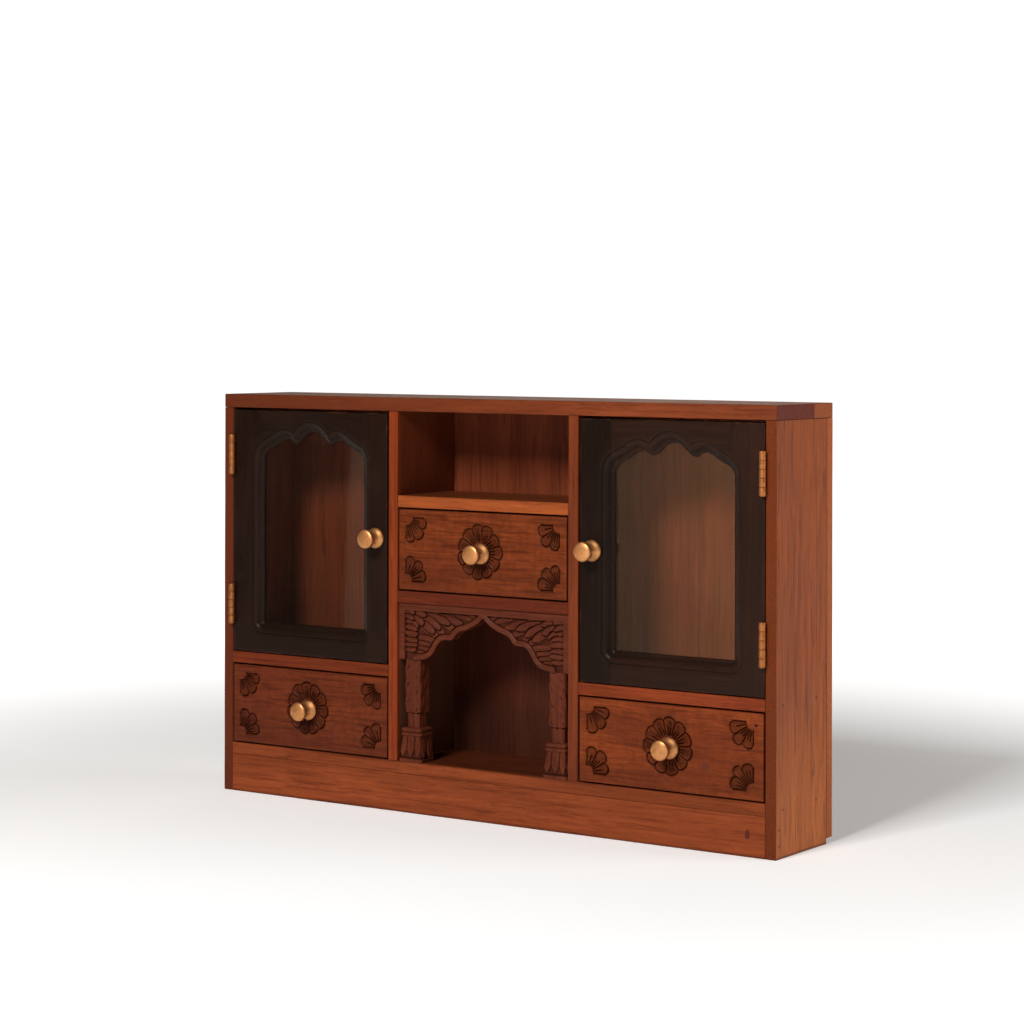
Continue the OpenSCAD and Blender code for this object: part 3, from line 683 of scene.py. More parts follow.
def bar(poly, a, b, axis="y", ease=0.4, steps=4, mat=0, seed=9, wob=0.05):
    """An outline pushed along an axis from a to b, its end edges eased. For 'y' the outline is in x and z, for 'z' in x and y, for 'x' in y and z."""
    ts = [a, a + ease * 0.35, a + ease] + [a + (b - a) * i / steps for i in range(1, steps)] + [b - ease, b - ease * 0.35, b]
    ins = [ease, ease * 0.3, 0.0] + [0.0] * (steps - 1) + [0.0, ease * 0.3, ease]
    p = np.asarray(poly, float)
    m = len(p)
    rows = []
    for t, d in zip(ts, ins):
        q = inset(p, d) if d else p
        col = np.full(m, t)
        rows.append({"y": np.stack([q[:, 0], col, q[:, 1]], 1), "z": np.stack([q[:, 0], q[:, 1], col], 1), "x": np.stack([col, q[:, 0], q[:, 1]], 1)}[axis])
    v = np.concatenate(rows)
    f = []
    for i in range(len(ts) - 1):
        for j in range(m):
            k = (j + 1) % m
            f.append((i * m + j, i * m + k, (i + 1) * m + k, (i + 1) * m + j))
    f.append(tuple(range(m))[::-1])
    f.append(tuple((len(ts) - 1) * m + j for j in range(m)))
    tri = [(g[0], g[i], g[i + 1]) for g in f for i in range(1, len(g) - 1)]
    t3 = v[np.array(tri)] - v.mean(0)
    if np.einsum("ij,ij->i", t3[:, 0], np.cross(t3[:, 1], t3[:, 2])).sum() < 0:
        f = [g[::-1] for g in f]
    edge = np.repeat([1.0, 0.6, 0.1] + [0.0] * (steps - 1) + [0.1, 0.6, 1.0], m)
    return Shape().add(v, f, mat, edge=edge)


def ring(profile, centre, axis="z", segs=48, mat=0, edge=None):
    """A closed profile of (radius, height) turned about an axis: a tube or a washer."""
    prof = np.asarray(profile, float)
    n = len(prof)
    ang = np.linspace(0, 2 * np.pi, segs, endpoint=False)
    c = np.asarray(centre, float)
    v = []
    for r, h in prof:
        u, w, q = r * np.cos(ang), r * np.sin(ang), np.full(segs, h)
        v.append(c + {"z": np.stack([u, w, q], 1), "y": np.stack([u, -q, w], 1), "x": np.stack([q, u, w], 1)}[axis])
    v = np.concatenate(v)
    f = []
    for i in range(n):
        k = (i + 1) % n
        for j in range(segs):
            l = (j + 1) % segs
            f.append((i * segs + j, i * segs + l, k * segs + l, k * segs + j))
    t = v[np.array([(g[0], g[1], g[2]) for g in f] + [(g[0], g[2], g[3]) for g in f])] - v.mean(0)
    if np.einsum("ij,ij->i", t[:, 0], np.cross(t[:, 1], t[:, 2])).sum() < 0:
        f = [g[::-1] for g in f]
    return Shape().add(v, f, mat, edge=None if edge is None else np.repeat(edge, segs))


def screw_top(centre, r, h, axis, sign, slot_w=0.5, slot_d=0.7, cross=False, dome=0.35, tip=None, shank=None, turn=0.4, mat=0, segs=64):
    """A screw: its head's face outwards along sign on the axis, with a cut slot or cross, and a shank that runs the other way."""
    rad = np.concatenate([np.linspace(0.0, 0.82, 13)[1:], [0.9, 0.96, 1.0]]) * r
    ang = np.linspace(0, 2 * np.pi, segs, endpoint=False)
    rows, edge = [], []
    for q in rad:
        u, w = q * np.cos(ang), q * np.sin(ang)
        top = h - dome * (q / r) ** 2 * h - (0.12 * h if q >= r * 0.999 else 0.0)
        a, b = u * math.cos(turn) + w * math.sin(turn), -u * math.sin(turn) + w * math.cos(turn)
        cut = np.clip((slot_w - np.abs(b)) / 0.16, 0, 1) * (1.0 if not cross else np.clip((r * 0.62 - np.abs(a)) / 0.2, 0, 1))
        if cross:
            cut = np.maximum(cut, np.clip((slot_w - np.abs(a)) / 0.16, 0, 1) * np.clip((r * 0.62 - np.abs(b)) / 0.2, 0, 1))
        rows.append(np.stack([u, w, top - cut * slot_d], 1))
        edge.append(cut * 0.9)
    v = np.concatenate([[[0, 0, h - slot_d]]] + rows)
    edge = np.concatenate([[0.9]] + edge)
    f = [(0, 1 + j, 1 + (j + 1) % segs) for j in range(segs)]
    n = len(rad)
    prof = [(r, 0.0)] + list(shank or [])
    for q, z in prof:
        v = np.concatenate([v, np.stack([q * np.cos(ang), q * np.sin(ang), np.full(segs, z)], 1)])
        edge = np.concatenate([edge, np.full(segs, 0.3)])
    total = n + len(prof)
    for i in range(total - 1):
        for j in range(segs):
            k = (j + 1) % segs
            f.append((1 + i * segs + j, 1 + (i + 1) * segs + j, 1 + (i + 1) * segs + k, 1 + i * segs + k))
    f.append(tuple(1 + (total - 1) * segs + j for j in range(segs)))
    c = np.asarray(centre, float)
    s = float(sign)
    out = {"y": np.stack([v[:, 0], s * v[:, 2], v[:, 1]], 1), "x": np.stack([s * v[:, 2], v[:, 0], v[:, 1]], 1), "z": np.stack([v[:, 0], v[:, 1], s * v[:, 2]], 1)}[axis] + c
    t = out[np.array([(g[0], g[1], g[2]) for g in f])] - out.mean(0)
    if np.einsum("ij,ij->i", t[:, 0], np.cross(t[:, 1], t[:, 2])).sum() < 0:
        f = [g[::-1] for g in f]
    return Shape().add(out, f, mat, edge=edge)


def polyline_distance(px, pz, line):
    """Distance from points to an open line of points."""
    a, b = line[:-1], line[1:]
    d = b - a
    l2 = np.maximum((d ** 2).sum(1), 1e-12)
    shape = np.shape(px)
    x, z = np.ravel(px), np.ravel(pz)
    out = np.empty(len(x))
    for i in range(0, len(x), 4000):
        qx, qz = x[i:i + 4000, None] - a[None, :, 0], z[i:i + 4000, None] - a[None, :, 1]
        t = np.clip((qx * d[:, 0] + qz * d[:, 1]) / l2, 0, 1)
        out[i:i + 4000] = np.sqrt(((qx - t * d[:, 0]) ** 2 + (qz - t * d[:, 1]) ** 2).min(1))
    return out.reshape(shape)


# ---------------------------------------------------------------------------
# Door frame: one routed shape around the opening, then cut at the four joints
# ---------------------------------------------------------------------------
MOULDING = [(0.0, 7.35), (0.18, 6.95), (0.7, 6.75), (1.5, 6.6), (2.3, 6.2), (3.1, 5.45), (3.8, 4.5), (4.4, 3.55), (5.1, 2.65), (5.9, 1.95),
            (6.8, 1.45), (7.8, 1.1), (8.9, 0.92), (9.8, 0.9), (10.15, 0.98), (10.35, 0.8), (10.5, 0.42), (10.9, 0.34), (11.1, 0.26), (11.25, 0.05), (11.5, 0.0)]
# MOULD_CAV: painted shade, how dark each moulding row is in its hollows
MOULD_CAV = [0.5, 0.45, 0.35, 0.2, 0.1, 0.0, 0.0, 0.0, 0.0, 0.0, 0.0, 0.0, 0.0, 0.1, 0.75, 0.7, 0.45, 0.1, 0.3, 0.25, 0.0]
MOULD_EDGE = [0.3, 0.35, 0.1, 0, 0, 0, 0, 0, 0, 0.1, 0.3, 0.35, 0.35, 0.3, 0.0, 0.0, 0.3, 0.4, 0.2, 0.35, 0.2]


def door_frame_shape(seed=21):
    cz, rc = 240.0, 0.8
    pairs = []
    sx, sz = SIGHT_HALF - rc, SIGHT_Z0 + rc
    for x in np.linspace(-sx, sx, 56)[1:-1]:
        pairs.append(((x, SIGHT_Z0), (0.0, -1.0)))
    for a in np.radians(np.linspace(-90, 0, 19)):
        pairs.append(((sx + rc * math.cos(a), sz + rc * math.sin(a)), (math.cos(a), math.sin(a))))

    def side(z, s):
        t = float(smooth(z, 240.0, SPRING_Z))
        r = np.array([SIGHT_HALF, z - cz]) / math.hypot(SIGHT_HALF, z - cz)
        d = np.array([1.0, 0.0]) * (1 - t) + r * t
        d /= np.linalg.norm(d)
        return ((s * SIGHT_HALF, z), (s * d[0], d[1]))

    zs = list(np.linspace(sz, 240.0, 34)[1:]) + list(np.linspace(240.0, SPRING_Z, 42)[1:-1])
    pairs += [side(z, 1) for z in zs]
    arch = curve_points(DOOR_ARCH, 7) + np.array([0.0, SPRING_Z])
    full = np.concatenate([arch, arch[-2::-1] * np.array([-1, 1])])
    for x, z in full:
        L = math.hypot(x, z - cz)
        pairs.append(((x, z), (x / L, (z - cz) / L)))
    pairs += [side(z, -1) for z in reversed(zs)]
    for a in np.radians(np.linspace(180, 270, 19)):
        pairs.append(((-sx + rc * math.cos(a), sz + rc * math.sin(a)), (math.cos(a), math.sin(a))))
    A = np.array([p[0] for p in pairs])
    D = np.array([p[1] for p in pairs])

    xl, xr = DOOR_X0 - BAY, DOOR_X1 - BAY

    def hit(A, D, x0, x1, z0, z1):
        with np.errstate(divide="ignore", invalid="ignore"):
            tx = np.where(D[:, 0] > 1e-9, (x1 - A[:, 0]) / D[:, 0], np.where(D[:, 0] < -1e-9, (x0 - A[:, 0]) / D[:, 0], 1e9))
            tz = np.where(D[:, 1] > 1e-9, (z1 - A[:, 1]) / D[:, 1], np.where(D[:, 1] < -1e-9, (z0 - A[:, 1]) / D[:, 1], 1e9))
        return np.minimum(tx, tz)

    def aim(A, D, rect, target):
        """Adds a ray that meets the rectangle exactly at target."""
        t = hit(A, D, *rect)
        H = A + D * t[:, None]
        mid = np.array([(rect[0] + rect[1]) / 2, (rect[2] + rect[3]) / 2])

        def turn(p):
            return np.arctan2(p[..., 1] - mid[1], p[..., 0] - mid[0])

        h, g = turn(H), turn(np.array(target))
        n = len(A)
        for i in range(n):
            j = (i + 1) % n
            span = (h[j] - h[i]) % (2 * np.pi)
            off = (g - h[i]) % (2 * np.pi)
            if span < 1.0 and 0 <= off <= span:
                if off < 1e-7 or span - off < 1e-7:
                    return A, D
                u = off / span
                p = A[i] * (1 - u) + A[j] * u
                d = np.array(target) - p
                d /= np.linalg.norm(d)
                return np.insert(A, i + 1, p, 0), np.insert(D, i + 1, d, 0)
        return A, D

    outer = (xl, xr, DOOR_Z0, DOOR_Z1)
    reb = (-REB_HALF, REB_HALF, REB_Z0, REB_Z1)
    for r in (outer, reb):
        for x in r[:2]:
            for z in r[2:]:
                A, D = aim(A, D, r, (x, z))
    notches = [(z - 19.2, z + 19.2) for z in HINGE_Z]
    for a, b in notches:
        for z in (a - 0.03, a + 0.03, b - 0.03, b + 0.03):
            A, D = aim(A, D, outer, (xr, z))
    n = len(A)
    line = np.vstack([A, A[:1]])
    ts = np.linspace(0, 26, 105)
    sd = polyline_distance(A[:, 0:1] + D[:, 0:1] * ts, A[:, 1:2] + D[:, 1:2] * ts, line)
    sd = np.maximum.accumulate(sd + ts * 1e-6, axis=1)
    rows, edge, cav = [], [], []

    def row(t, y, e=0.0, c=0.0):
        t = np.broadcast_to(t, (n,))
        p = A + D * t[:, None]
        rows.append(np.stack([p[:, 0] + BAY, np.broadcast_to(y, (n,)), p[:, 1]], 1))
        edge.append(np.broadcast_to(np.asarray(e, float), (n,)))
        cav.append(np.broadcast_to(np.asarray(c, float), (n,)))

    row(0.0, LIP, 0.0, 0.4)
    for (d, y), c, e in zip(MOULDING, MOULD_CAV, MOULD_EDGE):
        t = np.array([np.interp(d, sd[i], ts) for i in range(n)]) if d > 0 else np.zeros(n)
        last = t
        row(t, y, e, c)

    def rect_t(e):
        return hit(A, D, xl + e, xr - e, DOOR_Z0 + e, DOOR_Z1 - e)

    full_t = rect_t(0.0)
    H = A + D * full_t[:, None]
    inside = np.zeros(n, bool)
    for a, b in notches:
        inside |= (H[:, 1] > a) & (H[:, 1] < b) & (H[:, 0] > xr - 1e-6)
    cutx = 291.7 - BAY
    with np.errstate(divide="ignore", invalid="ignore"):
        notch_t = np.where(inside, (cutx - A[:, 0]) / np.where(np.abs(D[:, 0]) < 1e-6, 1.0, D[:, 0]), full_t)
    lim = np.minimum(full_t, notch_t)
    for k in (0.25, 0.6):
        row(last + (rect_t(3.0) - last) * k, 0.0)
    for e, y, ed in ((3.0, 0.0, 0.05), (1.6, 0.0, 0.3), (0.85, 0.02, 0.6), (0.42, 0.14, 0.9), (0.13, 0.42, 1.0), (0.0, 0.85, 0.8)):
        row(np.minimum(rect_t(e), lim - 0.002 * (6 - e) * inside), y, ed)
    row(lim, 1.6, 0.3)
    row(lim, 6.0)
    row(lim, 11.1, 0.1)
    row(full_t, 11.1 + 0.02, 0.1)
    row(full_t, 15.1, 0.3)
    row(rect_t(0.12), 15.7, 1.0)
    row(rect_t(0.7), 16.0, 0.7)
    row(rect_t(2.4), 16.0, 0.1)
    rt = hit(A, D, *reb)
    row(rt + (rect_t(2.4) - rt) * 0.4, 16.0)
    row(rt + 0.35, 16.0, 0.5)
    row(rt, 15.65, 0.8)
    row(rt, LIP + 0.02, 0.0, 0.6)
    R = len(rows)
    v = np.concatenate(rows)
    # hand-worked unevenness, always into the wood
    w = noise3(v / 60.0, seed) * 0.16 + noise3(v / 14.0, seed + 1) * 0.05
    v[:, 1] += np.where(v[:, 1] < 7.5, w, 0.0)
    f = []
    for i in range(R):
        k = (i + 1) % R
        for j in range(n):
            l = (j + 1) % n
            f.append((i * n + j, i * n + l, k * n + l, k * n + j))
    s = Shape().add(v, f, 0, edge=np.concatenate(edge), cav=np.concatenate(cav))
    t = v[np.array([(g[0], g[1], g[2]) for g in f] + [(g[0], g[2], g[3]) for g in f])] - v.mean(0)
    if np.einsum("ij,ij->i", t[:, 0], np.cross(t[:, 1], t[:, 2])).sum() < 0:
        s.f = [g[::-1] for g in s.f]
    return s


def cut(shape, planes):
    """The part of a closed shape behind each plane (point, normal), its cut ends closed."""
    bm = bmesh.new()
    le, lc = bm.verts.layers.float.new("edge"), bm.verts.layers.float.new("cav")
    E, Cv = np.concatenate(shape.val["edge"]), np.concatenate(shape.val["cav"])
    vs = []
    for p, e, c in zip(np.concatenate(shape.v), E, Cv):
        b = bm.verts.new(p)
        b[le], b[lc] = float(e), float(c)
        vs.append(b)
    for f in shape.f:
        bm.faces.new([vs[i] for i in f])
    for co, no in planes:
        bmesh.ops.bisect_plane(bm, geom=bm.verts[:] + bm.edges[:] + bm.faces[:], dist=1e-5, plane_co=co, plane_no=no, clear_outer=True)
        rim = [e for e in bm.edges if e.is_boundary]
        bmesh.ops.holes_fill(bm, edges=rim, sides=0)
        for e in rim:
            for b in e.verts:
                b[lc] = max(b[lc], 0.55)
    bmesh.ops.recalc_face_normals(bm, faces=bm.faces[:])
    bm.verts.index_update()
    out = Shape()
    out.add([tuple(b.co) for b in bm.verts], [[b.index for b in f.verts] for f in bm.faces], 0, edge=[b[le] for b in bm.verts], cav=[b[lc] for b in bm.verts])
    bm.free()
    return out


# ---------------------------------------------------------------------------
# Drawer fronts: a rosette round the knob and a quarter flower in each corner
# ---------------------------------------------------------------------------
def vee(dist, half, depth):
    """A V cut: depth at dist 0, nothing beyond half; its bottom is a little round."""
    t = np.clip(1 - np.abs(dist) / half, 0, 1)
    return depth * t ** 1.15


def rosette(U, W, cu, cw, phase, rng, petals=11, r_in=20.6, r_out=24.2):
    """A round flower: dished petals with a raised rim, a deep cut between them, and two slots in each round the knob."""
    u, w = U - cu, (W - cw) * 0.985
    rho = np.hypot(u, w)
    th = np.arctan2(w, u)
    step = 2 * np.pi / petals
    centres = [math.radians(phase) + k * step + rng.uniform(-0.04, 0.04) for k in range(petals)]
    bounds = [(centres[k] + centres[(k + 1) % petals] + (2 * np.pi if k == petals - 1 else 0)) / 2 for k in range(petals)]
    depth = np.zeros_like(rho)
    soft = np.zeros_like(rho)
    for k in range(petals):
        lo, hi = bounds[k - 1] - (2 * np.pi if k == 0 else 0), bounds[k]
        mid, half = (lo + hi) / 2, (hi - lo) / 2
        a = (th - mid + np.pi) % (2 * np.pi) - np.pi
        sel = np.abs(a) <= half
        q = np.clip(np.abs(a) / half, 0, 1)
        R1 = r_out + rng.uniform(-0.6, 0.6)
        lean = rng.uniform(-0.16, 0.16)
        ql = np.clip(np.abs(a / half - lean) / (1 - lean * np.sign(a)), 0, 1)
        end = r_in + (R1 - r_in) * np.sqrt(np.clip(1 - ql ** 2.0, 0, 1))
        delta = end - rho
        lat = rho * np.sin(np.clip(half - np.abs(a), 0, 1.5))
        jd = rng.uniform(0.85, 1.15)
        d = np.where(delta > 0, vee(lat, 1.15, 2.3 * jd) * smooth(rho, 8.6, 10.6), 0.0)
        # the wall round the flower is steep on the petal's side and slopes away outside
        d = np.maximum(d, np.where(delta > 0, vee(delta, 0.95, 2.2 * jd), vee(delta, 1.8, 2.2 * jd)))
        # petals are dished inside a raised rim
        rimd = np.minimum(delta, lat)
        dish = np.where(delta > 0, 0.95 * smooth(rimd, 1.5, 3.0) * smooth(rho, 9.0, 11.0), 0.0)
        d = np.maximum(d, dish)
        for off in (-0.36, 0.34):
            da = a - off * half * (1 + rng.uniform(-0.18, 0.18))
            sl = rho * np.abs(np.sin(np.clip(da, -1.5, 1.5)))
            l0, l1 = 8.2 + rng.uniform(-0.3, 0.3), 18.2 + rng.uniform(-1.6, 1.2)
            win = smooth(rho, l0, l0 + 0.9) * smooth(-rho, -l1, -l1 + 3.0)
            d = np.maximum(d, (0.5 + 0 * dish) * smooth(rho, 9.0, 11.0) * smooth(-rho, -19.0, -16.5) + vee(sl, 0.95, 1.9 * rng.uniform(0.85, 1.15)) * win)
        depth = np.where(sel, np.maximum(depth, d), depth)
        soft = np.where(sel & (delta > 0) & (rho > 8.5), 1.0, soft)
    return depth, soft


def quarter(U, W, cu, cw, su, sw, rng, inner=7.2, tips=(22.6, 25.0, 22.6)):
    """Quarter flower: su and sw say which way along u and w it opens."""
    a0, b0 = (U - cu) * su, (W - cw) * sw
    rho = np.hypot(a0, b0)
    th = np.arctan2(b0, a0)
    depth = np.zeros_like(rho)
    soft = np.zeros_like(rho)
    quad = (a0 > -1.3) & (b0 > -1.3)
    edges = [0.0, math.radians(30 + rng.uniform(-3.0, 3.0)), math.radians(60 + rng.uniform(-3.0, 3.0)), math.pi / 2]
    for k in range(3):
        lo, hi = edges[k], edges[k + 1]
        mid, half = (lo + hi) / 2, (hi - lo) / 2
        a = th - mid
        sel = quad & (a >= -half - (0.25 if k == 0 else 0)) & (a <= half + (0.25 if k == 2 else 0))
        q = np.clip(np.abs(a) / half, 0, 1)
        R = tips[k] + rng.uniform(-0.9, 0.7)
        end = (R - 4.0) + 4.0 * np.sqrt(np.clip(1 - q ** 2.0, 0, 1))
        delta = end - rho
        lat = rho * np.sin(np.clip(half - np.abs(a), -1.5, 1.5))
        live = smooth(rho, inner - 0.4, inner + 0.6)
        jd = rng.uniform(0.9, 1.15)
        d = np.where(delta > 0, vee(lat, 1.15, 2.3 * jd) * live, 0.0)
        d = np.maximum(d, np.where(rho > inner, np.where(delta > 0, vee(delta, 0.95, 2.2 * jd), vee(delta, 1.6, 2.2 * jd)), 0.0))
        rimd = np.minimum(delta, np.abs(lat))
        dish = np.where(delta > 0, 0.8 * smooth(rimd, 1.1, 2.4) * smooth(rho, inner, inner + 1.5), 0.0)
        d = np.maximum(d, dish)
        for off in ((-0.3, 0.34) if k == 1 else (-0.05,)) if rng.uniform() < 0.4 else (-0.34, 0.32):
            da = a - off * half * (1 + rng.uniform(-0.15, 0.15))
            sl = rho * np.abs(np.sin(np.clip(da, -1.5, 1.5)))
            l1 = 18.6 + rng.uniform(-1.8, 1.0)
            win = smooth(rho, inner + 0.3, inner + 1.3) * smooth(-rho, -l1, -l1 + 3.0)
            d = np.maximum(d, 0.45 * smooth(rho, inner, inner + 1.5) * smooth(-rho, -18.5, -16.5) + vee(sl, 0.9, 1.9) * win)
        d = np.where(rho > inner - 1.6, np.maximum(d, vee(rho - inner, 1.05, 2.0)), d)
        depth = np.where(sel, np.maximum(depth, d), depth)
        soft = np.where(sel & (delta > 0) & (rho > inner), 1.0, soft)
    return depth, soft


def drawer_front_shape(cx, z_floor, phase, seed, corner=(8.1, 8.1)):
    """A drawer's carved front, 186 by 74.4, closed behind with the groove for its bottom board."""
    W, H = 186.03, 74.4
    z0 = z_floor + 1.3
    rng = np.random.RandomState(seed)
    fine = 0.42
    xs = np.concatenate([np.arange(-93.015, -56.6, fine), np.arange(-56.6, -30.0, 2.6), np.arange(-30.0, 27.0, fine), np.arange(27.0, 56.6, 2.6), np.arange(56.6, 93.015, fine), [93.015]])
    xs = np.unique(np.round(np.concatenate([xs, [-93.015 + 0.12, 93.015 - 0.12]]), 4))
    zs = np.unique(np.round(np.concatenate([np.arange(-37.2, 37.2, fine), [37.2, -37.2 + 0.12, 37.2 - 0.12]]), 4))
    U, Wv = np.meshgrid(xs, zs, indexing="ij")
    depth, soft = rosette(U, Wv, -1.9, 1.4, phase, rng)
    for su, cu in ((1, -(W / 2 - corner[0])), (-1, W / 2 - corner[1])):
        for sw, cw in ((1, -(H / 2 - 8.2)), (-1, H / 2 - 8.2)):
            tips = (23.0, 25.0, 23.0)
            d, s = quarter(U, Wv, cu + rng.uniform(-0.3, 0.3), cw + rng.uniform(-0.3, 0.3), su, sw, rng, tips=tips)
            depth, soft = np.maximum(depth, d), np.maximum(soft, s)
    depth = depth * (0.86 + 0.28 * noise2(U, Wv, 7.0, seed + 3))
    chip = smooth(noise2(U, Wv, 2.6, seed + 9), 0.8, 0.95) * (depth > 0.25)
    depth = depth + chip * 0.22
    wavy = 0.1 * noise2(U, Wv, 40.0, seed + 5)
    # painted shade: cav darkens the cuts; it also darkens a blurred halo round the carving and the petals a little
    halo = blur(blur(np.clip(depth / 1.2, 0, 1), 4), 4)
    cav = np.clip(smooth(depth, 0.75, 1.5) * 0.95 + 0.2 * halo + 0.28 * blur(soft, 1), 0, 1)
    s = relief_panel(xs, zs, depth + wavy, 0.0, 12.0, r=0.85, cav=cav, seed=seed)
    v = s.v[0]
    v[:, 0] += cx
    v[:, 2] += z0 + H / 2
    # the groove for the bottom board, in the back
    n = len(xs) * len(zs)
    back = s.f.index((n, n + 3, n + 2, n + 1))
    s.f.pop(back)
    s.m.pop(back)
    gx0, gx1, gz0, gz1 = cx - W / 2 + 5, cx + W / 2 - 5, z_floor + 3.95, z_floor + 7.05
    hole = [(gx0, 12.0, gz0), (gx1, 12.0, gz0), (gx1, 12.0, gz1), (gx0, 12.0, gz1)]
    deep = [(x, 7.95, z) for x, _, z in hole]
    m = s.n
    # corners n..n+3 run (x0,z0), (x1,z0), (x1,z1), (x0,z1), as the hole's do
    s.add(hole + deep, [], 0)
    ring4 = [(n + 1, n, m, m + 1), (n + 2, n + 1, m + 1, m + 2), (n + 3, n + 2, m + 2, m + 3), (n, n + 3, m + 3, m)]
    wall = [(m + (i + 1) % 4, m + i, m + 4 + i, m + 4 + (i + 1) % 4) for i in range(4)]
    s.f += ring4 + wall + [(m + 7, m + 6, m + 5, m + 4)]
    s.m += [0] * 9
    return s


# ---------------------------------------------------------------------------
# The niche: carved arch panel and columns
# ---------------------------------------------------------------------------
# leaves of a spandrel, right half, from the lowest layer up: root x z, tip x z, half width, height over the ground, veins
LEAVES = [
    ((32.0, 186.0), (5.0, 184.3), 2.6, 1.9, 2), ((30.0, 184.5), (11.0, 180.6), 2.6, 1.9, 2),
    ((54.0, 184.0), (22.0, 176.6), 3.6, 2.3, 3), ((60.0, 181.5), (31.5, 171.2), 3.9, 2.3, 3), ((64.0, 178.0), (43.0, 166.0), 3.9, 2.3, 3),
    ((70.0, 171.5), (49.5, 163.8), 3.7, 2.3, 3), ((74.0, 163.5), (52.5, 159.6), 3.5, 2.3, 3), ((75.5, 158.2), (55.5, 155.2), 3.0, 2.2, 2),
    ((76.0, 153.6), (58.5, 151.4), 2.8, 2.1, 2), ((76.0, 149.4), (63.5, 148.2), 2.4, 2.0, 2),
    ((70.0, 185.6), (47.5, 183.6), 3.0, 2.75, 2), ((66.0, 184.0), (36.5, 176.5), 3.6, 2.7, 3), ((70.0, 182.5), (47.0, 171.4), 3.9, 2.8, 3),
    ((76.0, 178.5), (54.5, 167.8), 3.9, 2.8, 3), ((84.0, 185.0), (63.5, 183.0), 3.2, 3.0, 2), ((84.0, 181.0), (66.0, 174.8), 3.7, 3.0, 3),
    ((87.0, 177.0), (72.5, 171.6), 3.4, 3.0, 2), ((87.5, 171.5), (73.8, 168.4), 2.9, 2.95, 2), ((88.0, 166.0), (73.4, 165.2), 3.2, 3.0, 2),
    ((88.0, 160.0), (74.2, 159.6), 2.8, 3.0, 2), ((88.0, 155.2), (74.0, 155.4), 2.6, 2.95, 2), ((88.0, 150.6), (74.6, 150.9), 2.4, 2.9, 2),
    ((88.0, 186.0), (77.0, 184.6), 2.7, 3.05, 1), ((88.5, 181.5), (78.5, 179.0), 2.6, 3.05, 1),
]


def leaf_height(X, Z, root, tip, half, top, veins):
    """A leaf's height over the ground: it rises towards its blunt tip, with fine veins along it, and drops sharply at its edge."""
    r, t = np.array(root), np.array(tip)
    L = np.linalg.norm(t - r)
    d = (t - r) / L
    s = ((X - r[0]) * d[0] + (Z - r[1]) * d[1]) / L
    lat = -(X - r[0]) * d[1] + (Z - r[1]) * d[0]
    lat = lat + 0.9 * np.sin(np.pi * np.clip(s, 0, 1)) * (1 if (root[1] > 170) else -0.5)
    w = half * np.where((s > 0) & (s < 1), np.clip(0.62 + 0.38 * smooth(s, 0.0, 0.45), 0, 1) * np.sqrt(np.clip(1 - np.clip((s - 0.62) / 0.38, 0, 1) ** 2.2, 0, 1)), 0.0)
    q = np.abs(lat) / np.maximum(w, 1e-3)
    body = np.clip(1 - q ** 4, 0, 1) ** 0.5
    h = top * body * (0.62 + 0.38 * smooth(s, 0.1, 0.8))
    ph = lat / half * (veins + 0.5) * 0.5
    groove = np.clip(1 - np.abs(((ph + 0.25 * (veins % 2)) % 1.0) - 0.5) / 0.26, 0, 1)
    h = h - 0.6 * groove * smooth(s, 0.04, 0.2) * smooth(-s, -0.93, -0.78) * (q < 0.88)
    return np.where((q < 1) & (s > 0) & (s < 1), h, 0.0)


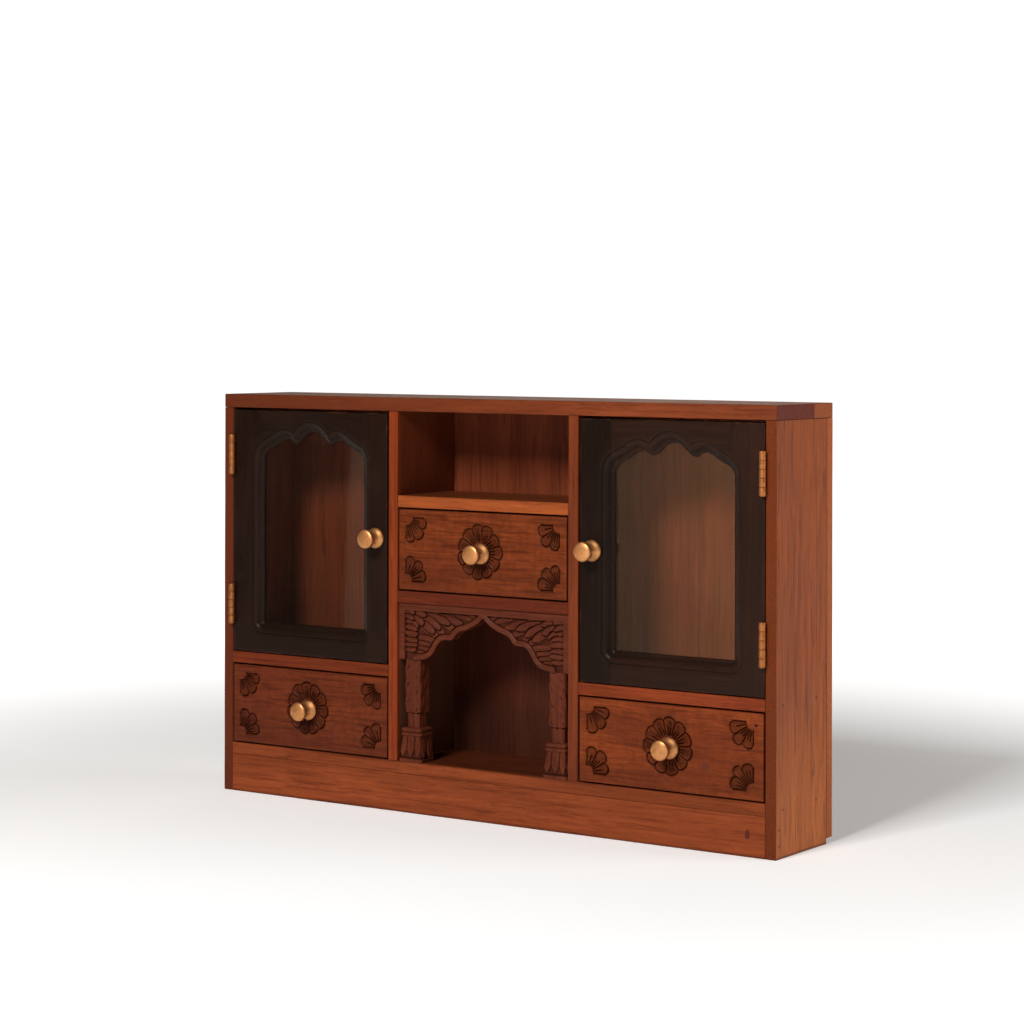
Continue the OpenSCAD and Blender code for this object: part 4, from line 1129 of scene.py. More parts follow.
def niche_arch_shape(seed=41):
    top = CEIL_Z0
    half = np.array(NICHE_HALF, float)
    line_half = curve_points(half, 6)[::-1]
    line_half = line_half[np.argsort(line_half[:, 0])]
    gx, gz = line_half[:, 0], line_half[:, 1] + ARCH_FOOT
    fine = 0.42
    xs = np.unique(np.round(np.concatenate([np.arange(-DIV_IN, DIV_IN, fine), [DIV_IN, -74.0, 74.0, 0.0]]), 4))
    low = np.where(np.abs(xs) <= 74.0, np.interp(np.abs(xs), gx, gz), ARCH_FOOT)
    nt = 118
    t = np.linspace(0, 1, nt)
    t = np.unique(np.concatenate([t, [0.004, 0.012]]))
    X = np.repeat(xs[:, None], len(t), 1)
    Z = low[:, None] + (top - low[:, None]) * t[None, :]
    foot = np.array([[90.0, ARCH_FOOT]])
    full = np.concatenate([np.stack([-gx[::-1], gz[::-1]], 1), np.stack([gx, gz], 1)[1:]])
    delta = polyline_distance(X, Z, full)
    aX = np.abs(X)
    wob = 0.5 * (noise2(X, Z, 19.0, seed) - 0.5)
    # the rim: one rounded band with a faint line along it
    rim_w = 5.5
    band = np.clip(1 - np.abs((delta - 2.75) / 2.75) ** 2.6, 0, 1) ** 0.5
    H = np.where(delta < rim_w, 1.35 + 1.6 * band, 0.0)
    H -= vee(delta - 3.1, 0.55, 0.4) * smooth(X, -30.0, 20.0)
    H = H - 1.0 * smooth(-delta, -0.7, 0.0)
    # the plain margins, and the ground between
    margin = np.minimum(88.4 - aX, 187.2 - Z)
    plain = margin < 0
    ground = 3.05 - H
    body = np.full_like(X, 0.1)
    rng = np.random.RandomState(seed)
    for sgn in (-1, 1):
        half_body = np.full_like(X, 0.1)
        for k, (r, tp, w, h, v) in enumerate(LEAVES):
            j = rng.uniform(-0.7, 0.7, 5)
            lf = leaf_height(aX + wob, Z + wob * 0.7, (r[0] + j[0] * 0.5, r[1] + j[1] * 0.6), (tp[0] + j[2] * 1.2, tp[1] + j[3] * 0.8), w * (1 + 0.1 * j[4]), h, v)
            grown = leaf_height(aX + wob, Z + wob * 0.7, (r[0] + j[0] * 0.5, r[1] + j[1] * 0.6), (tp[0] + j[2] * 1.2 - 0.9, tp[1] + j[3] * 0.8 - 0.25), w * (1 + 0.1 * j[4]) + 0.7, 1.0, 1)
            half_body = np.where(lf > 0.02, lf, np.where(grown > 0.0, np.minimum(half_body, 0.45), half_body))
        body = np.where(X * sgn > 0, half_body, body)
    body = np.where(delta < rim_w + 0.9, np.minimum(body, 0.3), body)
    h = np.where(delta < rim_w, H, body)
    depth = 3.05 - h
    depth = np.where(plain, 0.0, depth)
    depth = np.where(~plain & (margin < 0.7), np.minimum(depth + 0.0, 3.05) * smooth(margin, -0.05, 0.5) + 0.2, depth)
    # the apex of the rim runs into the plain top margin
    rimtop = (delta < rim_w) & (Z > 184.5) & (aX < 12)
    depth = np.where(rimtop, np.minimum(depth, 3.05 - H), depth)
    depth = np.clip(depth, 0, 3.4)
    depth += 0.12 * noise2(X, Z, 6.0, seed + 2) * (depth > 0.3)
    # painted shade: cav darkens the deep ground and the cuts, with a blurred halo
    halo = blur(np.clip(depth / 3.0, 0, 1), 4)
    high = np.clip((depth - blur(depth, 3)) * 0.9, 0, 1)
    cav = np.clip(0.85 * high + 0.42 * smooth(depth, 1.5, 2.8) + 0.12 * halo, 0, 1)
    nx, nz = X.shape
    y0, y1 = 2.0, 12.0
    e = np.minimum(np.minimum(X + DIV_IN, DIV_IN - X), top - Z)
    r = 0.5
    tt = np.clip(1 - e / r, 0, 1)
    Y = y0 + depth + r * (1 - np.sqrt(np.clip(1 - tt * tt, 0, 1)))
    Y[:, 0] = np.maximum(Y[:, 0], y0 + 1.2)
    v = np.stack([X, Y, Z], -1).reshape(-1, 3)
    idx = np.arange(nx * nz).reshape(nx, nz)
    a, b, c, d = idx[:-1, :-1].ravel(), idx[1:, :-1].ravel(), idx[1:, 1:].ravel(), idx[:-1, 1:].ravel()
    f = list(zip(a, b, c, d))
    n = len(v)
    lowb = np.stack([xs, np.full(nx, y1), low], 1)
    topb = np.stack([xs, np.full(nx, y1), np.full(nx, top)], 1)
    lb, tb = n + np.arange(nx), n + nx + np.arange(nx)
    f += list(zip(idx[:-1, 0], lb[:-1], lb[1:], idx[1:, 0]))
    f += list(zip(idx[:-1, -1], idx[1:, -1], tb[1:], tb[:-1]))
    f += list(zip(lb[:-1], tb[:-1], tb[1:], lb[1:]))
    f.append(tuple(idx[0, :]) + (tb[0], lb[0]))
    f.append(tuple(idx[-1, ::-1]) + (lb[-1], tb[-1]))
    edge = np.exp(-np.minimum(delta, 60) / 1.1) * 0.8
    s = Shape().add(np.concatenate([v, lowb, topb]), f, 0,
                    edge=np.concatenate([edge.ravel(), np.zeros(2 * nx)]), cav=np.concatenate([cav.ravel(), np.zeros(2 * nx)]))
    return s


def column_shape(cx=80.3, seed=51):
    """A carved column: flared leafy foot, two-part ring, fluted neck with a scalloped top, shaft with a climbing stem
    of leaning lobes and slanting cuts.
    """
    zs = np.unique(np.round(np.concatenate([np.arange(47.0, 141.3, 0.48), [141.3, 141.05, 47.3, 70.5, 78.7, 92.0]]), 4))
    nz = len(zs)
    m = 150
    # outline of a rounded square, walked from back left round the front to back right; q is the distance along it
    rng = np.random.RandomState(seed)

    def spans(z):
        """half width, front y, back y at height z"""
        if z < 53.0:
            return 13.2, 0.3, 20.0
        if z < 70.5:
            k = (z - 53.0) / 17.5
            k = k ** 0.9
            return 13.2 - 3.0 * k, 0.3 + 1.7 * k ** 1.5, 20.0
        if z < 74.3:
            k = (z - 70.5) / 3.8
            bul = math.sin(math.pi * k) ** 0.5 if 0 < k < 1 else 0.0
            return 10.6 + 1.35 * bul, 2.2 - 1.2 * bul, 20.0
        if z < 78.5:
            k = (z - 74.3) / 4.2
            bul = math.sin(math.pi * k) ** 0.5 if 0 < k < 1 else 0.0
            return 10.3 + 1.35 * bul, 2.4 - 1.2 * bul, 19.6
        if z < 91.5:
            k = (z - 78.5) / 13.0
            neck = 7.1 + 0.35 * k
            return neck, 5.2 - 0.35 * k, 18.5
        k = min(1.0, (z - 91.5) / 1.4)
        return 7.75 + 1.55 * k, 4.85 - 1.45 * k, 18.5

    rng_table = rng.uniform(-1, 1, (60, 3))
    V, CAV, EDGE = [], [], []
    for z in zs:
        hw, yf, yb = spans(z)
        rc = 3.0 if z > 70.5 else 2.4
        # corner points of the outline, front corners rounded
        pts, q = [], []
        side_n, front_n, arc_n = 34, 52, 15
        for i in range(side_n):
            pts.append((-hw, yb + (yf + rc - yb) * i / (side_n - 1)))
        for i in range(1, arc_n):
            a = math.pi - (math.pi / 2) * i / arc_n
            pts.append((-hw + rc + rc * math.cos(a), yf + rc - rc * math.sin(a)))
        for i in range(front_n):
            pts.append((-hw + rc + (2 * hw - 2 * rc) * i / (front_n - 1), yf))
        for i in range(1, arc_n):
            a = math.pi / 2 - (math.pi / 2) * i / arc_n
            pts.append((hw - rc + rc * math.cos(a), yf + rc - rc * math.sin(a)))
        for i in range(side_n):
            pts.append((hw, yf + rc + (yb - yf - rc) * i / (side_n - 1)))
        P = np.array(pts)
        seg = np.linalg.norm(np.diff(P, axis=0), axis=1)
        q = np.concatenate([[0], np.cumsum(seg)])
        q = q - q[-1] / 2
        tan = np.gradient(P, axis=0)
        nrm = np.stack([tan[:, 1], -tan[:, 0]], 1)
        nrm /= np.maximum(np.linalg.norm(nrm, axis=1, keepdims=True), 1e-9)
        d = np.zeros(len(P))
        if z >= 91.5:
            # a soft climbing stem: lobes that lean one way, parted by short slanting cuts left and right by turns
            zz = z - 92.0
            lean_ = zz / 15.0 * 2 * np.pi + q / 11.5 * np.pi
            d = 0.42 * (1 - np.cos(lean_)) ** 1.5 * 0.5 + 0.12 * (1 + np.sin(q * 1.15 + z * 0.21))
            for r_ in range(-1, 8):
                for side_, base_ in ((-1, 4.2), (1, 11.6)):
                    for turn_ in (-26.0, -13.0, 0.0, 13.0, 26.0):
                        jit = rng_table[(r_ * 7 + int(turn_) + (3 if side_ > 0 else 0)) % 60]
                        qc, zc = turn_ + side_ * (4.9 + 0.5 * jit[0]), 92.0 + r_ * 15.0 + base_ + 0.9 * jit[1]
                        dq, dz = q - qc, z - zc
                        al = 0.52 * dq - 0.85 * dz
                        ac = 0.85 * dq + 0.52 * dz + 0.035 * al * al * side_
                        d = np.maximum(d, vee(ac, 0.95, 1.35 + 0.25 * jit[2]) * np.clip(1.35 - np.abs(al) / 2.9, 0, 1))
            # scalloped skirt at the foot of the shaft's carving
            sk = 1.5 * np.abs(np.sin(np.pi * q / 6.4)) ** 0.6
            if z < 94.2:
                d = np.maximum(d, np.where((z - 91.5) < 1.6 * (1 - sk / 1.5), 1.6, 0.0))
        elif z >= 78.5:
            fl = 0.5 * (1 - np.cos(2 * np.pi * q / 4.9))
            d = 0.75 * (1 - np.sqrt(np.clip(fl, 0, 1))) * float(smooth(z, 79.0, 80.4)) * float(smooth(-z, -91.4, -90.2))
        elif z >= 70.5:
            d = vee(np.full(len(P), z - 74.35), 0.45, 0.5) + 0.25 * np.clip(np.sin(q * 2.1 + (1.2 if z > 74.3 else 0)), 0, 1) ** 4
        elif z >= 50.0:
            # three leaf lobes that hang over the foot, with V notches between their tips
            wl = 8.6
            c = (q + wl / 2) % wl - wl / 2
            k = (z - 52.5) / 17.5
            edge_line = wl / 2 * (0.98 if k > 0.35 else max(0.0, 0.25 + 2.1 * k))
            d = np.maximum(vee(np.abs(c) - edge_line, 0.7, 1.15) if k > -0.1 else d, 0)
            d = np.maximum(d, vee(c, 0.5, 0.7) * float(smooth(np.array(k), 0.25, 0.4)) * float(smooth(np.array(-k), -1.0, -0.85)))
            if k < 0.4:
                d = np.where(np.abs(c) > edge_line, np.maximum(d, 1.5), d)
            d = d + 0.35 * (np.abs(c) / (wl / 2)) ** 2
        fade = np.clip((np.arange(len(P)) - 6) / 10.0, 0, 1) * np.clip((len(P) - 7 - np.arange(len(P))) / 10.0, 0, 1)
        d = d * (0.25 + 0.75 * fade)
        d = np.minimum(d, 2.6)
        Pn = P - nrm * d[:, None]
        nz_ = noise3(np.stack([q / 5.0, np.full(len(P), z / 5.0), np.full(len(P), seed * 1.7)], 1), seed) * 0.14
        Pn = Pn - nrm * nz_[:, None]
        V.append(np.stack([Pn[:, 0] + cx, np.clip(Pn[:, 1], 0.3, 20.0), np.full(len(P), z)], 1))
        CAV.append(d)
        EDGE.append(np.zeros(len(P)))
    n = len(V[0])
    D = np.array(CAV)
    # painted shade: cav darkens the cuts and hollows, and the whole column a little
    hi = np.clip((D - blur(D, 3)) * 1.1, 0, 1)
    cav = np.clip(0.9 * hi + 0.5 * smooth(D, 0.7, 1.7) + 0.05, 0, 1)
    v = np.concatenate(V)
    f = []
    for i in range(nz - 1):
        for j in range(n):
            k = (j + 1) % n
            f.append((i * n + j, i * n + k, (i + 1) * n + k, (i + 1) * n + j))
    f.append(tuple(range(n))[::-1])
    f.append(tuple((nz - 1) * n + j for j in range(n)))
    s = Shape().add(v, f, 0, edge=np.concatenate(EDGE), cav=cav.ravel())
    t = v[np.array([(g[0], g[1], g[2]) for g in f[:-2]])] - v.mean(0)
    if np.einsum("ij,ij->i", t[:, 0], np.cross(t[:, 1], t[:, 2])).sum() < 0:
        s.f = [g[::-1] for g in s.f]
    return s


# ---------------------------------------------------------------------------
# Finishes
# ---------------------------------------------------------------------------
LOW, HIGH = 0.8, 1.14


def tones(r, g, b, lo=0.74, hi=1.22):
    """Dark, middle and light of one wood; the dark leans to red."""
    lo, hi = lo * LOW, hi * HIGH
    m = lin(r, g, b)
    return dict(dark=(m[0] * lo * 1.04, m[1] * lo * 0.94, m[2] * lo * 0.92, 1.0), mid=m, light=(m[0] * hi, m[1] * hi * 1.04, m[2] * hi * 1.05, 1.0))


RAIL = tones(121, 52, 25)
BOX = tones(176, 130, 88, 0.8, 1.15)
BACK = tones(104, 48, 27)


def board(node, box, mat, slot, seed, **kw):
    return make(node + "_look", rounded_box(*box, seed=seed, **kw), mat, node=node)


# --- carcass ---------------------------------------------------------------
# painted shade: the top darkens towards the left
top_mat = wood("top_wood", "x", **tones(110, 50, 24), seed=3, contrast=1.0, patches=0.25, figure=0.2, end_axis="x", end_col=lin(100, 32, 8), end_split=(67.0, lin(140, 68, 22)),
               tone=[(0, 150.0, -300.0, 0.8, lin(84, 36, 18))])
board("top_board", (-BODY_X, BODY_X, 0, BODY_D, WALL_H, BODY_H), top_mat, "carcass_wood", 3, r=0.8, step=9.0, wob=0.15)
nail_marks = [(305.0, 12.0, 129.7, 1.5, lin(70, 34, 22)), (305.0, 71.0, 129.7, 1.4, lin(74, 36, 22)), (305.0, 71.0, 41.5, 1.4, lin(80, 40, 25)),
              (305.0, 12.0, 41.5, 1.2, lin(96, 50, 32)), (305.0, 5.2, 11.0, 1.2, lin(90, 46, 30)), (305.0, 5.2, 25.0, 1.2, lin(92, 46, 30))]
# painted light: the right side lightens towards the floor, standing in for light from the floor; painted shade and
# dirt: a dark band at its foot
side_r = wood("side_wood_right", "z", **tones(122, 55, 12, 0.6, 1.3), seed=11, contrast=1.2, patches=0.3, patch_col=lin(100, 46, 22), rough=(0.38, 0.52), tone=[(2, 170.0, 10.0, 1.0, (1.62, 2.15, 4.2, 1.0), "MULTIPLY"), (2, 3.2, 0.4, 0.7, lin(52, 22, 12))], end_axis="y", end_col=lin(110, 48, 17), marks=nail_marks, pore=0.3)
side_l = wood("side_wood_left", "z", **tones(112, 52, 27), seed=12, contrast=0.85, patches=0.35, rough=(0.38, 0.52), end_axis="y", end_col=lin(100, 42, 20), pore=0.3)
board("right_side", (SIDE_IN, BODY_X, 0, INNER_D, 0, WALL_H), side_r, "side_wood", 11, r=0.7, wob=0.14)
board("left_side", (-BODY_X, -SIDE_IN, 0, INNER_D, 0, WALL_H), side_l, "side_wood", 12, r=0.7, wob=0.14)
# painted shade: the dividers' faces inside the niche and the cubby get another colour, standing in for the light and
# shade there
div_l = wood("divider_wood_left", "z", **tones(117, 47, 18), seed=14, contrast=1.0, patches=0.3,
             painted_shade=[(-98.5, 98.5, 3.0, 40.0, 196.0, 2.0, 0.8, lin(92, 62, 46)), (-98.5, 98.5, 3.0, 290.0, 380.0, 2.0, 0.5, lin(64, 36, 26))])
div_r = wood("divider_wood_right", "z", **tones(102, 45, 21), seed=15, contrast=1.0, patches=0.3,
             painted_shade=[(-98.5, 98.5, 3.0, 40.0, 196.0, 2.0, 0.8, lin(92, 62, 46)), (-98.5, 98.5, 3.0, 290.0, 380.0, 2.0, 0.5, lin(64, 36, 26))])
board("left_divider", (-DIV_OUT, -DIV_IN, 0, INNER_D, FLOOR_Z, WALL_H), div_l, "carcass_wood", 14, r=0.6)
board("right_divider", (DIV_IN, DIV_OUT, 0, INNER_D, FLOOR_Z, WALL_H), div_r, "carcass_wood", 15, r=0.6)
# painted shade: the niche floor on the bottom board is darkened
bottom_m = wood("bottom_wood", "x", **tones(120, 55, 25), seed=17, contrast=1.1, patches=0.4,
                painted_shade=[(-93.0, 93.0, 3.5, 46.0, 60.0, 2.0, 0.78, lin(32, 15, 9))])
board("bottom_board", (-SIDE_IN, SIDE_IN, 0, INNER_D, PLINTH_H, FLOOR_Z), bottom_m, "carcass_wood", 17, r=0.55)
# painted light: the plinth lightens towards the right; painted shade and dirt: a dark band at its foot
plinth_m = wood("plinth_wood", "x", **tones(126, 58, 27), seed=19, contrast=1.2, patches=0.35, figure=0.15, tone=[(0, 0.0, 300.0, 0.15, lin(140, 66, 34)), (2, 3.0, 0.4, 0.6, lin(52, 22, 12))],
                marks=[(277.0, 0.0, 18.0, 2.6, lin(84, 36, 22)), (277.4, 0.0, 21.0, 2.4, lin(84, 36, 22))])
board("plinth_board", (-SIDE_IN, SIDE_IN, 0, 10.5, 0, PLINTH_H), plinth_m, "carcass_wood", 19, r=0.7, wob=0.16)
shelf_lm = wood("shelf_wood_left", "x", **tones(105, 42, 17), seed=23, contrast=1.2, patches=0.4)
shelf_rm = wood("shelf_wood_right", "x", **tones(116, 47, 20), seed=24, contrast=1.2, patches=0.4)
board("left_shelf", (-SIDE_IN, -DIV_OUT, 0, INNER_D, SHELF_Z0, SHELF_Z1), shelf_lm, "carcass_wood", 23, r=0.6)
board("right_shelf", (DIV_OUT, SIDE_IN, 0, INNER_D, SHELF_Z0, SHELF_Z1), shelf_rm, "carcass_wood", 24, r=0.6)
# painted shade: the cubby shelf's top face is darkened
cubby_m = wood("cubby_wood", "x", **tones(141, 68, 31), seed=26, contrast=1.0, patches=0.25, figure=0.2,
               painted_shade=[(-96.0, 96.0, 2.0, 290.0, 300.0, 2.0, 0.62, lin(34, 15, 9))])
board("cubby_shelf", (-DIV_IN, DIV_IN, 0, INNER_D, CUBBY_Z0, CUBBY_Z1), cubby_m, "carcass_wood", 26, r=0.6)
ceil_m = wood("ceiling_wood", "x", **tones(91, 35, 16), seed=28, contrast=1.1, patches=0.5)
board("niche_ceiling", (-DIV_IN, DIV_IN, 0, INNER_D, CEIL_Z0, CEIL_Z1), ceil_m, "carcass_wood", 28, r=0.6)
# painted shade: darker fields on the back panel inside the niche, heavier low and to the left, and a red-brown field in
# the left bay
back_m = wood("back_wood", "z", end_axis="x", end_col=lin(166, 84, 30), **BACK, seed=31, contrast=1.2, patches=0.4, seam=(-190.0, 175.8), painted_shade=[(-96.0, 96.0, 60.0, 40.0, 200.0, 6.0, 0.53, lin(36, 18, 12)), (-96.0, 96.0, 60.0, 40.0, 100.0, 16.0, 0.4, lin(38, 20, 13)), (-96.0, -40.0, 60.0, 40.0, 105.0, 26.0, 0.4, lin(26, 14, 10)), (-300.0, -100.0, 60.0, 130.0, 380.0, 6.0, 0.3, lin(66, 22, 6))])
board("back_panel", (-BODY_X, BODY_X, INNER_D, BODY_D, 5.0, WALL_H), back_m, "back_wood", 31, r=0.6, wob=0.12,
      extra=([-190.4, -190.0, -189.6, 175.4, 175.8, 176.2], (), ()),
      push=lambda q, nrm: q + nrm * (-0.55 * sum(np.exp(-((q[:, 0] - s) / 0.28) ** 2) for s in (-190.0, 175.8)) * (np.abs(nrm[:, 1]) > 0.6))[:, None])

# --- niche -----------------------------------------------------------------
carve_m = wood("arch_wood", "x", **tones(85, 38, 22), seed=36, contrast=0.9, patches=0.3, cav_dark=0.85, bump=0.2, cav_col=lin(30, 13, 8), carved=True)
make("niche_arch_look", niche_arch_shape(), carve_m, node="niche_arch", angle=50)
col_m = wood("column_wood", "z", **tones(86, 38, 21), seed=38, contrast=0.9, patches=0.3, cav_dark=0.85, bump=0.2, cav_col=lin(30, 13, 8), carved=True)
column = column_shape()
make("right_column_look", column, col_m, node="right_column", angle=50)
make("left_column_look", column.mirrored(), col_m, node="left_column", angle=50)

# --- doors -----------------------------------------------------------------
# painted shade: the right door's latch stile gets a darker copy of the finish, offsetting the sheen it catches
ebony_v = [ebonised("ebony_upright_%d" % i, "z", seed=60 + i, **({"base": (19, 11, 8), "brown": (38, 20, 13)} if i == 0 else {})) for i in range(4)]
ebony_h = [ebonised("ebony_across_%d" % i, "x", seed=70 + i) for i in range(4)]
frame_shape = door_frame_shape()
xl, xr = BAY - SIGHT_HALF - 0.16, BAY + SIGHT_HALF + 0.16
CUTS = {
    "latch_stile": [((xl, 0, 250), (1, 0, 0))],
    "hinge_stile": [((xr, 0, 250), (-1, 0, 0))],
    "top_rail": [((xl, 0, 250), (-1, 0, 0)), ((xr, 0, 250), (1, 0, 0)), ((BAY, 0, 250), (0, 0, -1))],
    "bottom_rail": [((xl, 0, 250), (-1, 0, 0)), ((xr, 0, 250), (1, 0, 0)), ((BAY, 0, 250), (0, 0, 1))],
}
for part, planes in CUTS.items():
    s = cut(frame_shape, planes)
    upright = part.endswith("stile")
    make("right_door_" + part + "_look", s, (ebony_v if upright else ebony_h)[0 if part in ("latch_stile", "top_rail") else 1], node="right_door_" + part, angle=40)
    make("left_door_" + part + "_look", s.mirrored(), (ebony_v if upright else ebony_h)[2 if part in ("latch_stile", "top_rail") else 3], node="left_door_" + part, angle=40)

glass_m = glass("pane_glass")
pane = rounded_box(BAY - 66.3, BAY + 66.3, LIP, LIP + 2.0, REB_Z0 + 0.2, REB_Z1 - 0.2, r=0.25, step=30.0, wob=0.0, rvar=0.2, seed=81)
make("right_door_glass_look", pane, glass_m, node="right_door_glass")
make("left_door_glass_look", pane.mirrored(), glass_m, node="left_door_glass")


def bead_profile(a0, a1, y0=10.0, y1=15.0):
    """Section of a glass bead from a0, in the rebate's corner, to a1, its free edge, with a hollowed face."""
    s = 1 if a1 > a0 else -1
    w = abs(a1 - a0)
    pts = [(a0, y0), (a0 + s * w, y0), (a0 + s * w, y0 + 1.1), (a0 + s * (w - 0.3), y0 + 1.4)]
    for k in range(1, 7):
        ang = math.pi / 2 * k / 7
        pts.append((a0 + s * (w - 0.4 - 3.6 * (1 - math.cos(ang))), y0 + 1.5 + 3.1 * math.sin(ang) * 0.95))
    pts += [(a0 + s * 1.0, y1 - 0.1), (a0 + s * 0.3, y1)]
    pts.append((a0, y1 - 0.3))
    return pts


bead_m = ebonised("bead_stain", "z", seed=83, base=(40, 27, 21), brown=(70, 42, 30))
rx0, rx1, bw = BAY - REB_HALF, BAY + REB_HALF, 5.5
beads = bar(bead_profile(rx0, rx0 + bw), REB_Z0, REB_Z1, "z", steps=10)
beads.join(bar(bead_profile(rx1, rx1 - bw), REB_Z0, REB_Z1, "z", steps=10))
beads.join(bar([(y, z) for z, y in bead_profile(REB_Z0, REB_Z0 + bw)], rx0 + bw + 0.2, rx1 - bw - 0.2, "x", steps=10))
beads.join(bar([(y, z) for z, y in bead_profile(REB_Z1, REB_Z1 - bw)], rx0 + bw + 0.2, rx1 - bw - 0.2, "x", steps=10))
make("right_door_glass_beads_look", beads, bead_m, node="right_door_glass_beads")
make("left_door_glass_beads_look", beads.mirrored(), bead_m, node="left_door_glass_beads")

# --- knobs and their screws --------------------------------------------------
knob_pts = [(9.2, 0.0), (9.55, 0.35), (9.6, 0.95), (9.45, 1.55), (9.05, 2.2), (8.3, 3.0), (7.3, 3.9), (6.3, 4.9), (5.45, 6.2), (4.85, 7.5), (4.55, 8.7), (4.5, 9.8), (4.75, 10.8),
            (5.4, 11.6), (6.5, 12.2), (7.6, 12.75), (8.35, 13.4), (8.75, 14.3), (8.9, 15.4), (8.85, 16.3), (8.6, 17.1), (8.0, 17.75), (7.0, 18.2), (5.6, 18.55), (3.8, 18.8), (1.9, 18.95), (0.0, 19.0)]
knob_prof = [(0.0, 8.6), (1.98, 8.6), (1.98, 0.0)] + [tuple(p) for p in curve_points(knob_pts, 3)]
knob_m = [brass("knob_brass_%d" % i, seed=90 + i) for i in range(5)]
zinc = plain("dull_zinc", (150, 146, 138), (112, 106, 98), rough=0.42, metallic=0.9, scale=260.0)
KNOBS = {"right_door": (120.0, 252.4, 16.0), "left_door": (-120.0, 252.4, 16.0), "left_drawer": (-199.833, 85.5, 12.0),
         "center_drawer": (0.0, 243.5, 12.0), "right_drawer": (199.833, 85.5, 12.0)}
for i, (body, (kx, kz, t)) in enumerate(KNOBS.items()):
    k = lathe([(max(r, 0.0), min(h, 19.0)) for r, h in knob_prof], (kx, 0.0, kz), "y", segs=96, sign=-1, wobble=0.0)
    make(body + "_knob_look", k, knob_m[i], node=body + "_knob", angle=40)
    s = screw_top((kx, t, kz), 4.0, 2.2, "y", 1, slot_w=0.55, slot_d=1.0, cross=True, dome=0.45, turn=0.3 + 0.5 * i,
                  shank=[(2.0, 0.0), (1.95, -0.4)] + [(1.95 - 0.18 * (j % 2), -0.4 - 0.35 * j) for j in range(1, int((t + 7.4) / 0.35))] + [(1.2, -(t + 8.0))])
    make(body + "_knob_screw_look", s, zinc, node=body + "_knob_screw", angle=40)

# --- hinges ------------------------------------------------------------------
hinge_m = brass("hinge_brass", col=(176, 112, 64), dark=(116, 68, 38), rough=(0.5, 0.62), seed=101, tarnish=0.5, joint=0.3)
pin_m = brass("pin_brass", col=(160, 108, 62), dark=(84, 50, 28), rough=(0.36, 0.5), seed=103, tarnish=0.55)
hscrew_m = brass("hinge_screw_brass", col=(170, 118, 68), dark=(88, 54, 30), rough=(0.34, 0.5), seed=105, tarnish=0.5)


def leaf_shape(side, first, bore):
    out = Shape()
    x0 = PIN_X + (0.2 if side > 0 else -1.4)
    step = 38.0 / 5
    for zc in HINGE_Z:
        z0 = zc - 19.0
        out.join(rounded_box(x0, x0 + 1.2, 0.1, 10.8, z0, z0 + 38.0, r=0.28, step=4.0, wob=0.03, seed=int(zc) + first))
        for i in range(first, 5, 2):
            a = z0 + i * step + (0.1 if i > 0 else 0.0)
            b = z0 + (i + 1) * step - (0.1 if i < 4 else 0.0)
            prof = [(bore, a + 0.05), (2.78, a), (2.96, a + 0.12), (3.0, a + 0.34), (3.0, (a + b) / 2), (3.0, b - 0.34), (2.96, b - 0.12), (2.78, b), (bore, b - 0.05)]
            out.join(ring(prof, (PIN_X, PIN_Y, 0.0), "z", segs=56, edge=[0.8, 0.9, 0.7, 0.15, 0.0, 0.15, 0.7, 0.9, 0.8]))
            # the leaf's neck, that curls round into the knuckle
            out.join(rounded_box(x0, x0 + 1.2, PIN_Y + (1.3 if bore < 1.28 else 1.3), 0.5, a + 0.05, b - 0.05, r=0.2, step=3.0, wob=0.02, seed=i + 5))
    return out


frame_leaf = leaf_shape(1, 0, 1.26)
frame_leaf.join(frame_leaf.mirrored())
make("hinge_frame_leaves_look", frame_leaf, hinge_m, node="hinge_frame_leaves", angle=40)
door_leaf = leaf_shape(-1, 1, 1.3)
make("right_door_hinge_leaves_look", door_leaf, hinge_m, node="right_door_hinge_leaves", angle=40)
make("left_door_hinge_leaves_look", door_leaf.mirrored(), hinge_m, node="left_door_hinge_leaves", angle=40)
pins = Shape()
for zc in HINGE_Z:
    prof = [(0.0, -19.8), (1.2, -19.78), (1.75, -19.62), (2.0, -19.35), (2.0, -19.1), (1.85, -19.0), (1.25, -19.0), (1.25, 0.0), (1.25, 19.0), (1.85, 19.0), (2.0, 19.1), (2.0, 19.35), (1.75, 19.62), (1.2, 19.78), (0.0, 19.8)]
    pins.join(lathe(prof, (PIN_X, PIN_Y, zc), "z", segs=48, sign=1))
pins.join(pins.mirrored())
make("hinge_pins_look", pins, pin_m, node="hinge_pins", angle=40)


def hinge_screws(direction, x):
    out = Shape()
    for zc in HINGE_Z:
        for s in (-1, 1):
            thread = [(1.2, -1.2)] + [(1.2 - 0.22 * (j % 2), -1.2 - 0.42 * j) for j in range(1, 17)] + [(0.25, -9.2)]
            out.join(screw_top((x, 5.8, zc + s * 11.0), 2.3, 0.0, "x", -direction, slot_w=0.3, slot_d=0.5, dome=0.0, shank=thread, turn=0.5 + s * 0.6 + zc))
    return out


fs = hinge_screws(1, PIN_X + 0.2)
fs.join(fs.mirrored())
make("hinge_frame_screws_look", fs, hscrew_m, node="hinge_frame_screws", angle=40)
ds = hinge_screws(-1, PIN_X - 0.2)
make("right_door_hinge_screws_look", ds, hscrew_m, node="right_door_hinge_screws", angle=40)
make("left_door_hinge_screws_look", ds.mirrored(), hscrew_m, node="left_door_hinge_screws", angle=40)

